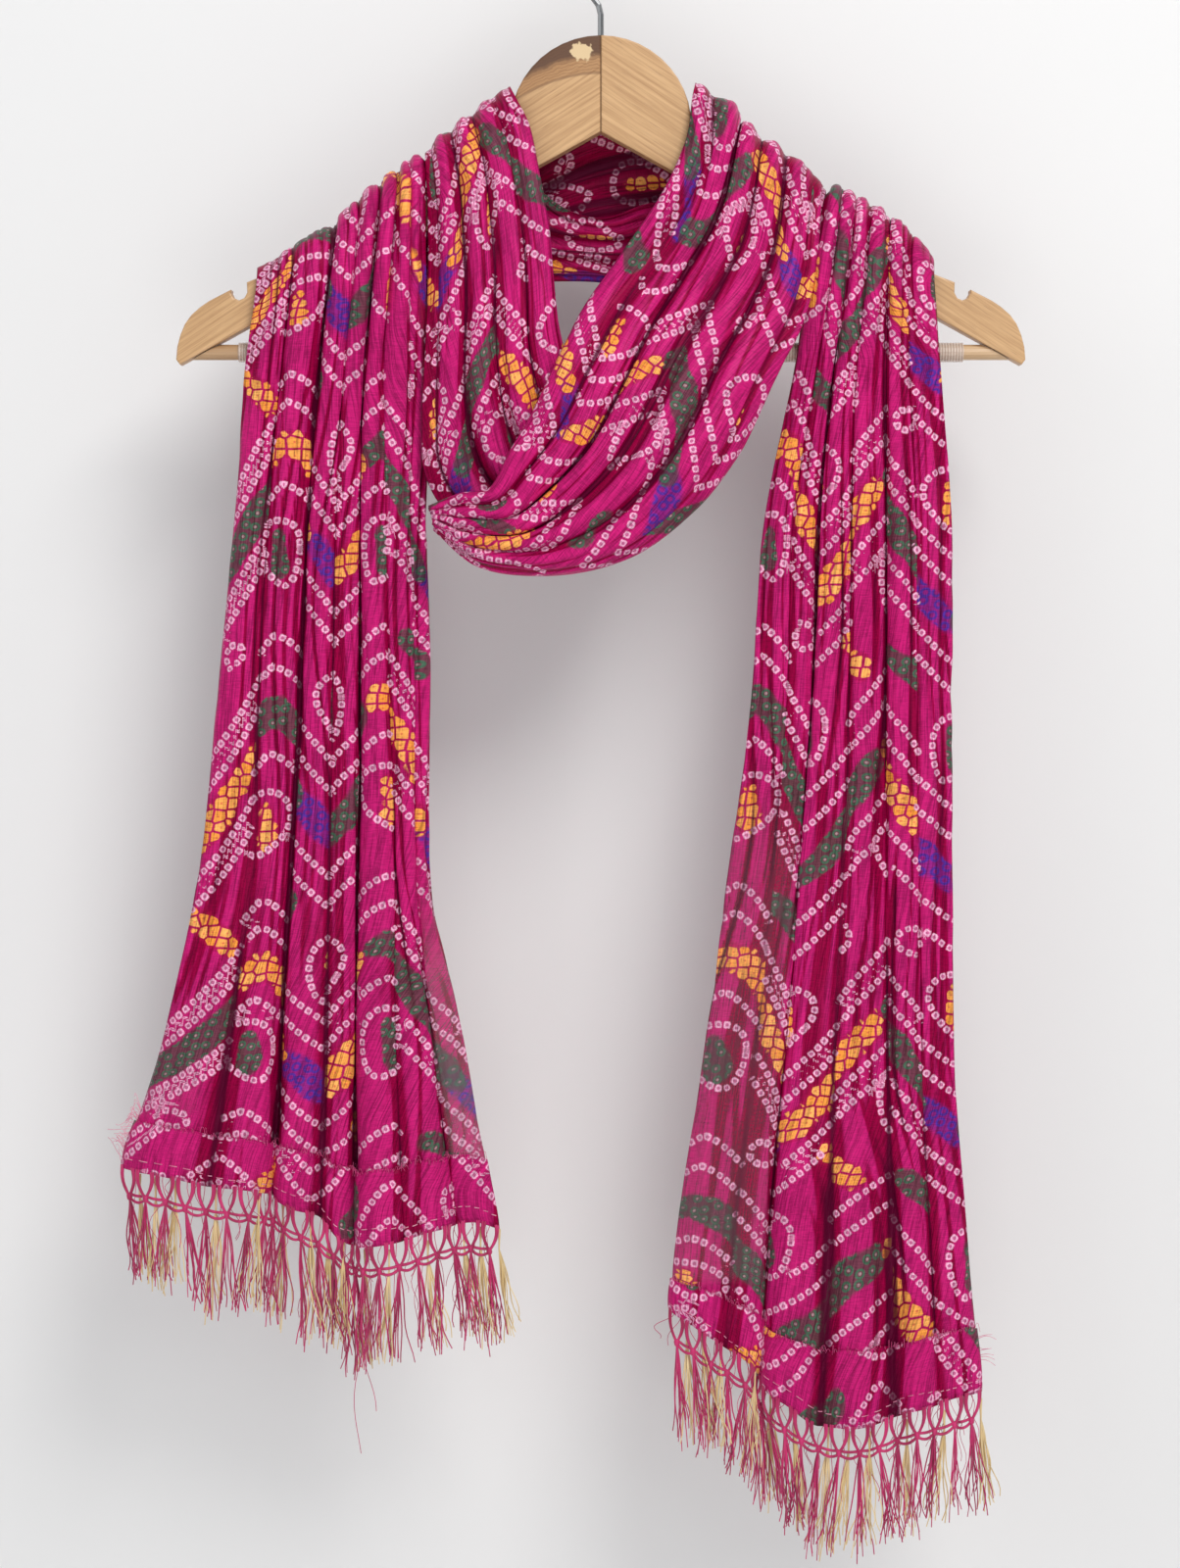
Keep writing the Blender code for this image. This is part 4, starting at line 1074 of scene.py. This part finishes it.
# The far one stands higher in its middle, close up behind the wood
far_rails = [(ax, az + max(0.0, 6.0 - abs(ax) / 9), *rest) for ax, az, *rest in FAR_WRAP]
wrap_near = wrap_cloth("wrap_near", loop_net[:, 0], right_net[:, 0], NEAR_WRAP, 61)
wrap_far = wrap_cloth("wrap_far", left_net[::-1, 0], cowl_net[:, 0], far_rails, 71)
# Painted shade: the far wrap, in shadow behind the neck, is darker all over, and the near wrap a little
# darker.
wrap_far.painted_shade = np.clip(wrap_far.painted_shade + 0.34, 0, 1)
wrap_near.painted_shade = np.clip(wrap_near.painted_shade + 0.12, 0, 1)


def thin_flap(cloth, first, last, top, foot, most):
    """Lets light through a single flap of cloth, between two fold lines and two heights."""
    place = np.arange(cloth.sheer.shape[0]) / FINE
    side = np.clip((place - first) / 0.35, 0, 1) if first else 1.0
    side = side * np.clip((last - place) / 0.35, 0, 1) if last < len(place) // FINE else side
    z = cloth.plain[..., 2]
    down = np.clip((top - z) / 60, 0, 1) * np.clip((z - foot) / 6, 0, 1)
    cloth.sheer = np.maximum(cloth.sheer, most * side[:, None] * down)


thin_flap(tail_right, 0, 3.8, -440.0, -728.0, 0.26)
thin_flap(tail_left, 12.1, 14, -500.0, -672.0, 0.30)
thin_flap(tail_left, 0, 1.5, -560.0, -640.0, 0.15)


# Hems: the tail's foot turned up on its front
def hem_cloth(name, tail, seed):
    """A turned-up hem, from the fold at the foot to the frayed raw edge."""
    foot, n_foot = tail.points[:, -1], tail.normal[:, -1]
    length, width = tail.flat_v[0], tail.flat_u[:, 0]
    flat = width * 0
    ragged = 7.0 * (grain(width / 46, flat, seed) - 0.5) + 2.0 * (grain(width / 5, flat, seed + 1) - 0.5)
    rows = [foot + n_foot * lift - point(0, 0, fall)
            for lift, fall in ((0.0, 0.0), (0.35, 0.55), (1.0, 0.5))]
    steps = np.linspace(0, 1, 11)[1:]
    columns = np.arange(len(width))
    for s in steps:
        back = s * (HEM_DEPTH + ragged)
        j = np.interp(length[-1] - back, length, np.arange(len(length)))
        puff = 1.25 + 0.9 * math.sin(math.pi * min(s * 1.05, 1.0))
        puff = puff + 0.5 * s * grain(width / 9, flat + s * 3, seed + 2)
        out = tail.normal[columns, np.clip(np.rint(j).astype(int), 0, len(length) - 1)]
        rows.append(tail.at(columns.astype(float), j) + out * puff[:, None])
    cloth = Cloth(name)
    v = np.concatenate([[0, 0.8, 1.6], 1.6 + steps * HEM_DEPTH])
    cloth.set_points(np.array(rows).transpose(1, 0, 2), v, seed, 0.0, 1.4)
    return cloth


hem_left = hem_cloth("hem_left", tail_left, 81)
hem_right = hem_cloth("hem_right", tail_right, 91)

for k, cloth in enumerate((tail_left, tail_right, cowl_front, cowl_left, wrap_near, wrap_far)):
    tie_dye(cloth, 0.17 + 0.29 * k, 5 + 7 * k)
    cloth_piece(cloth)
for k, cloth in enumerate((hem_left, hem_right)):
    tie_dye(cloth, 0.6 + 0.3 * k, 50 + 7 * k)
    cloth_piece(cloth)


# Threads
def threads(name, runs, radius, paint, taper=0.5, node=None):
    """Fine threads as one mesh: each run is a list of points, thinner towards its end."""
    curve = bpy.data.curves.new(name, "CURVE")
    curve.dimensions = "3D"
    curve.bevel_depth = radius * MM
    curve.bevel_resolution = 0
    curve.use_fill_caps = True
    for run in runs:
        spline = curve.splines.new("POLY")
        spline.points.add(len(run) - 1)
        for k, p in enumerate(run):
            spline.points[k].co = (*(p * MM), 1.0)
            spline.points[k].radius = 1.0 - (1.0 - taper) * k / (len(run) - 1)
    source = bpy.data.objects.new(name + "_lines", curve)
    bpy.context.scene.collection.objects.link(source)
    mesh = bpy.data.meshes.new_from_object(source.evaluated_get(bpy.context.evaluated_depsgraph_get()))
    bpy.data.objects.remove(source, do_unlink=True)
    mesh.name = name
    thing = add_piece(name, mesh, paint, "trim")
    if node:
        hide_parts(node)
    return thing


def run_of(count, at):
    """A run of points at even steps from 0 to 1."""
    return [at(t) for t in np.linspace(0, 1, count)]


def bowed(a, b, aside, forward, sag):
    """A run from a to b that bows aside and forward and hangs down in its middle."""
    def at(t):
        bow = math.sin(math.pi * t)
        return a * (1 - t) + b * t + point(aside * bow, -forward * bow, -4 * sag * t * (1 - t))
    return run_of(8, at)


def strand(start, g, long, spread, above):
    """One loose strand of a tassel, with g its four uneven values."""
    wave = 6.0 * (g[3] - 0.5)

    def at(t):
        x = spread * t ** 0.9 + wave * t * math.sin(7.5 * t + 6 * g[1])
        y = 7.0 * (g[1] - 0.5) * t + 0.9 * math.sin(5 * t + 5 * g[2])
        return start + point(x, y, -1.0 - long * t * (1 - 0.04 * abs(wave) * t))
    root = [start + point(1.4 * (g[0] - 0.5), 0, above + 1.5 * g[1])] if above else []
    return root + run_of(11, at)


def fringe(side, tail, seed):
    """Knotted trim: double links from the hem, a double chain, knots and loose tassels."""
    edge = tail.points[:, -1] + tail.normal[:, -1] * 0.8
    size = np.concatenate([[0], np.cumsum(np.linalg.norm(np.diff(edge, axis=0), axis=1))])
    total = size[-1]
    coarse = np.linspace(0, total, 60)

    def on(path, where, s):
        s = np.clip(s, 0, total)
        return np.stack([np.interp(s, where, path[:, k]) for k in range(3)], axis=-1)

    line = on(edge, size, coarse)
    soft = np.mean([on(edge, size, coarse + d) for d in (-9, -4.5, 0, 4.5, 9)], axis=0)
    count = int(round(total / KNOT_PITCH))
    pitch = total / count
    knots = []
    for k in range(count):
        jitter = 1.2 * (grain(k * 1.7, 0, seed) - 0.5)
        fall = 1.8 * (grain(k * 2.3, 1, seed) - 0.5) - LINK_DROP - 0.6
        knots.append(on(soft, coarse, (k + 0.5) * pitch + jitter) + point(0, 0, fall))
    magenta, cream, cord = [], [], []
    for k, knot in enumerate(knots):
        for m, reach in enumerate((-4.6, -3.4, 3.4, 4.6)):
            way = np.sign(reach)
            top = on(line, coarse, (k + 0.5) * pitch + reach) + point(0, -0.2, 0.9)
            cord.append(bowed(top, knot + point(0.5 * way, 0.3 * (m % 2), 0.4), 1.4 * way, 0.4, 0))
        if k:
            for lift, sag in ((0.9, 0.6), (-0.9, 2.2)):
                step = point(0, 0.3, lift)
                cord.append(bowed(knots[k - 1] + step, knot + step, 0, 0.6, sag))
        tall = TASSEL * (0.84 + 0.26 * grain(k * 3.1, 2, seed)) + 5.0 * math.sin(math.pi * (k + 0.5) / count)
        lean = 14.0 * (grain(k * 1.3, 3, seed) - 0.5)
        bundles = [(knot, 9 if k % 2 else 11, magenta, 0.0)]
        if k % 2 == 0 or k % 5 == 1:
            bundles.append((knot + point(0.45 * pitch, 1.6, 1.0), 12, cream, 8.5))
        for start, many, heap, above in bundles:
            for m in range(many):
                g = draws(k * 5.3 + m * 1.9 + above, 4, seed, 4)
                spread = (m - (many - 1) / 2) * 10.0 / many + 10.0 * (g[0] - 0.5) + lean
                heap.append(strand(start, g, tall * (0.76 + 0.28 * g[2]), spread, above))
    name = "fringe_" + side
    return [threads(name + "_magenta", magenta, 0.42, thread_magenta, 0.7, name),
            threads(name + "_cream", cream, 0.42, thread_cream, 0.7),
            threads(name + "_links", cord, 0.8, thread_magenta, 1.0),
            knobs(name + "_knots", knots)]


def knobs(name, knots):
    """Round knots, a little uneven round their sides."""
    bm = bmesh.new()
    for p in knots:
        for v in bmesh.ops.create_icosphere(bm, subdivisions=2, radius=1.0)["verts"]:
            swirl = 1 + 0.12 * math.sin(9 * v.co.z + 3 * math.atan2(v.co.y, v.co.x))
            v.co = (p + point(v.co.x * 1.55 * swirl, v.co.y * 1.35 * swirl, v.co.z * 2.1 - 0.6)) * MM
    return add_piece(name, mesh_of(name, bm), thread_magenta, "trim")


def on_cloth(cloth, share, back, lift):
    """A point on a cloth at a share of its width, back from its last row, lifted off it."""
    i = np.array([share * (cloth.points.shape[0] - 1.001)])
    length = cloth.flat_v[0]
    j = np.array([np.interp(length[-1] - back, length, np.arange(len(length)))])
    n = cloth.normal[int(i[0]), min(int(round(j[0])), cloth.normal.shape[1] - 1)]
    return cloth.at(i, j)[0] + n * lift


def hem_threads(side, hem, seed):
    """Running stitches along a hem and the fray of its raw edge."""
    size = hem.across[-1, -1]
    stitches, fray = [], []
    count = int(size / STITCH)
    for k in range(count):
        a, b = (k + 0.2) / count, (k + 0.75) / count
        low = hem.flat_v[0, -1] - (7.5 + 1.4 * math.sin(k * 0.5))
        stitches.append([on_cloth(hem, a + (b - a) * t, low, 0.25 + 0.25 * math.sin(math.pi * t))
                         for t in (0, 0.33, 0.67, 1)])
    for k in range(int(size / FRAY)):
        g = draws(k * 1.7, 3, seed)
        share = (k + g[0]) / (size / FRAY)
        if share > 0.995:
            continue
        base = on_cloth(hem, share, 0.6, 0.3)
        long = 2.0 + 7.0 * g[1] ** 2
        out = hem.normal[min(int(share * len(hem.normal)), len(hem.normal) - 1), -1]
        lean = 7 * (g[2] - 0.5)
        fray.append([base + point(lean * t, 0, (2.2 - 2.4 * t) * long * t) + out * (0.3 + 0.9 * t)
                     for t in (0, 0.3, 0.65, 1)])
    return [threads("stitches_" + side, stitches, 0.26, thread_pink, 1.0),
            threads("raw_edge_" + side, fray, 0.16, thread_fuzz, 0.6)]


def frayed_corners():
    """Short curled threads at the outer corner of each hem."""
    runs = []
    for k in range(42):
        g = draws(k * 2.3, 4, 77)
        start = on_cloth(tail_left, 0.0, 6.0 + 38.0 * g[0], 0.5) + point(1.5 * g[3], -0.3, 0)
        reach = point(-3 - 12 * g[1] * g[3], -1.5 * g[3], 13 * (g[2] - 0.42))
        bend = point(2.5 * (g[3] - 0.5), 0, 9 * (g[0] - 0.5))
        curls = 3.1 + 2.6 * g[3]
        runs.append(run_of(9, lambda t: start + reach * t + bend * math.sin(curls * t)))
    corner = on_cloth(tail_right, 0.999, 24.0, 0.5)
    for k in range(7):
        g = draws(k * 3.1, 3, 78)
        start = corner + point(0, -0.3, 20 * (g[0] - 0.5))
        reach = point(4 + 7 * g[1], -1, 14 * (g[2] - 0.5))
        bend = point(0, 0, 5 * (g[1] - 0.5))
        runs.append(run_of(7, lambda t: start + reach * t + bend * math.sin(3.1 * t)))
    threads("frayed_corner_threads", runs, 0.17, thread_pink, 0.7)


def loose_threads():
    """Long loose threads, shorter ones between the links, and one small loop behind the neck."""
    runs = []
    foot = on_cloth(tail_left, 0.62, 0.0, 1.5) - point(0, 0, 16)
    for k, (dx, fall) in enumerate(((-4.0, 92.0), (3.0, 70.0))):
        runs.append(run_of(16, lambda t: foot + point(dx * t + 3.0 * math.sin(7 * t + k),
                                                      0.5 * math.sin(5 * t), -fall * t)))
    for tail, count, seed in ((tail_left, 52, 85), (tail_right, 44, 86)):
        for k in range(count):
            g = draws(k * 2.9, 5, seed)
            start = on_cloth(tail, 0.015 + 0.97 * (k + g[0]) / count, 0.0, 1.4)
            fall, sway, curl, turns = 12 + 44 * g[1], 16 * (g[2] - 0.5), 3.4 * g[3], 5 + 6 * g[4]
            first = 6 * g[0]

            def at(t):
                x = sway * t + curl * (math.sin(turns * t + first) - math.sin(first))
                return start + point(x, 1.2 * math.sin(4 * t), -fall * t)
            runs.append(run_of(14, at))
    eye = on_cloth(wrap_near, 0.97, 125.0, 1.0)
    runs.append([eye + point(8.5 * math.sin(a) - 2, -1.0, -4.2 * (1 - math.cos(a)))
                 for a in np.linspace(0.4, 5.9, 18)])
    threads("loose_threads", runs, 0.2, thread_magenta, 0.9)


trim = {"left": fringe("left", tail_left, 7), "right": fringe("right", tail_right, 19)}
trim["left"] += hem_threads("left", hem_left, 31)
trim["right"] += hem_threads("right", hem_right, 43)
frayed_corners()
loose_threads()


# Backdrop, lights and camera
def backdrop():
    """A pale studio backdrop behind the hanger, rolled forward into a floor far below."""
    steps, floor, bent = 24, 2, 8      # all steps, the last one on the floor and the last in the bend
    back, foot, turn = 0.11, -1.05, 0.35     # where it stands, the top of its bend and the bend's size
    bm = bmesh.new()
    bmesh.ops.create_grid(bm, x_segments=2, y_segments=steps, size=1.0)
    for v in bm.verts:
        t = (v.co.y + 1) / 2 * steps
        a = (bent - min(max(t, floor), bent)) / (bent - floor) * math.pi / 2
        y = back - turn * (1 - math.cos(a)) - max(floor - t, 0) * 1.2
        z = foot - turn * math.sin(a) + max(t - bent, 0) * 0.16
        v.co = (v.co.x * 2.6, y, z)
    paint, n, sockets = new_paint("pale_backdrop", 0.9)
    mottle = n.noise(n.place(), 3.0, 3.0)
    n.join(n.mix(mottle, (0.81, 0.81, 0.805), (0.84, 0.84, 0.835)), sockets["Base Color"])
    # Only its front shows, so that the back of the stole can be looked at too
    open_side = n.add("ShaderNodeMixShader")
    nodes = paint.node_tree.nodes
    for source, target in ((n.out(n.add("ShaderNodeNewGeometry"), "Backfacing"), open_side.inputs[0]),
                           (n.out(nodes["Principled BSDF"]), open_side.inputs[1]),
                           (n.out(n.add("ShaderNodeBsdfTransparent")), open_side.inputs[2]),
                           (n.out(open_side), nodes["Material Output"].inputs["Surface"])):
        n.join(source, target)
    add_piece("backdrop", mesh_of("backdrop", bm), paint)


def lamp(name, place, aim_z, size, power, color):
    """A round soft lamp aimed at a height on the hanger's middle line."""
    light = bpy.data.lights.new(name, "AREA")
    light.shape = "DISK"
    light.size = size
    light.energy = power
    light.color = color
    thing = bpy.data.objects.new(name, light)
    bpy.context.scene.collection.objects.link(thing)
    thing.location = place
    x, y, z = place
    thing.rotation_euler = (math.atan2(math.hypot(x, y), z - aim_z), 0.0, math.atan2(x, -y))


backdrop()
lamp("window", (0.65, -1.55, 1.0), -0.35, 1.0, 26.0, (1.0, 0.985, 0.97))
lamp("room", (-1.4, -1.4, 0.2), -0.45, 1.2, 3.5, (0.98, 0.99, 1.0))
lamp("low_fill", (0.1, -1.9, -1.0), -0.55, 1.0, 5.5, (1.0, 0.97, 0.97))
scene = bpy.context.scene
scene.world = bpy.data.worlds.new("room_light")
scene.world.use_nodes = True
sky = scene.world.node_tree.nodes["Background"].inputs
sky[0].default_value = (0.95, 0.97, 1.0, 1.0)
sky[1].default_value = 0.52
scene.view_settings.view_transform = "Standard"

lens = bpy.data.cameras.new("camera")
lens.sensor_width = SENSOR
lens.lens = SENSOR * VIEW_FAR / VIEW_TALL
lens.shift_y = (VIEW_MIDDLE - VIEW_Z) / VIEW_TALL
view = bpy.data.objects.new("camera", lens)
scene.collection.objects.link(view)
view.location = point(VIEW_X, -VIEW_FAR, VIEW_Z) * MM
view.rotation_euler = (math.pi / 2, 0.0, 0.0)
scene.camera = view
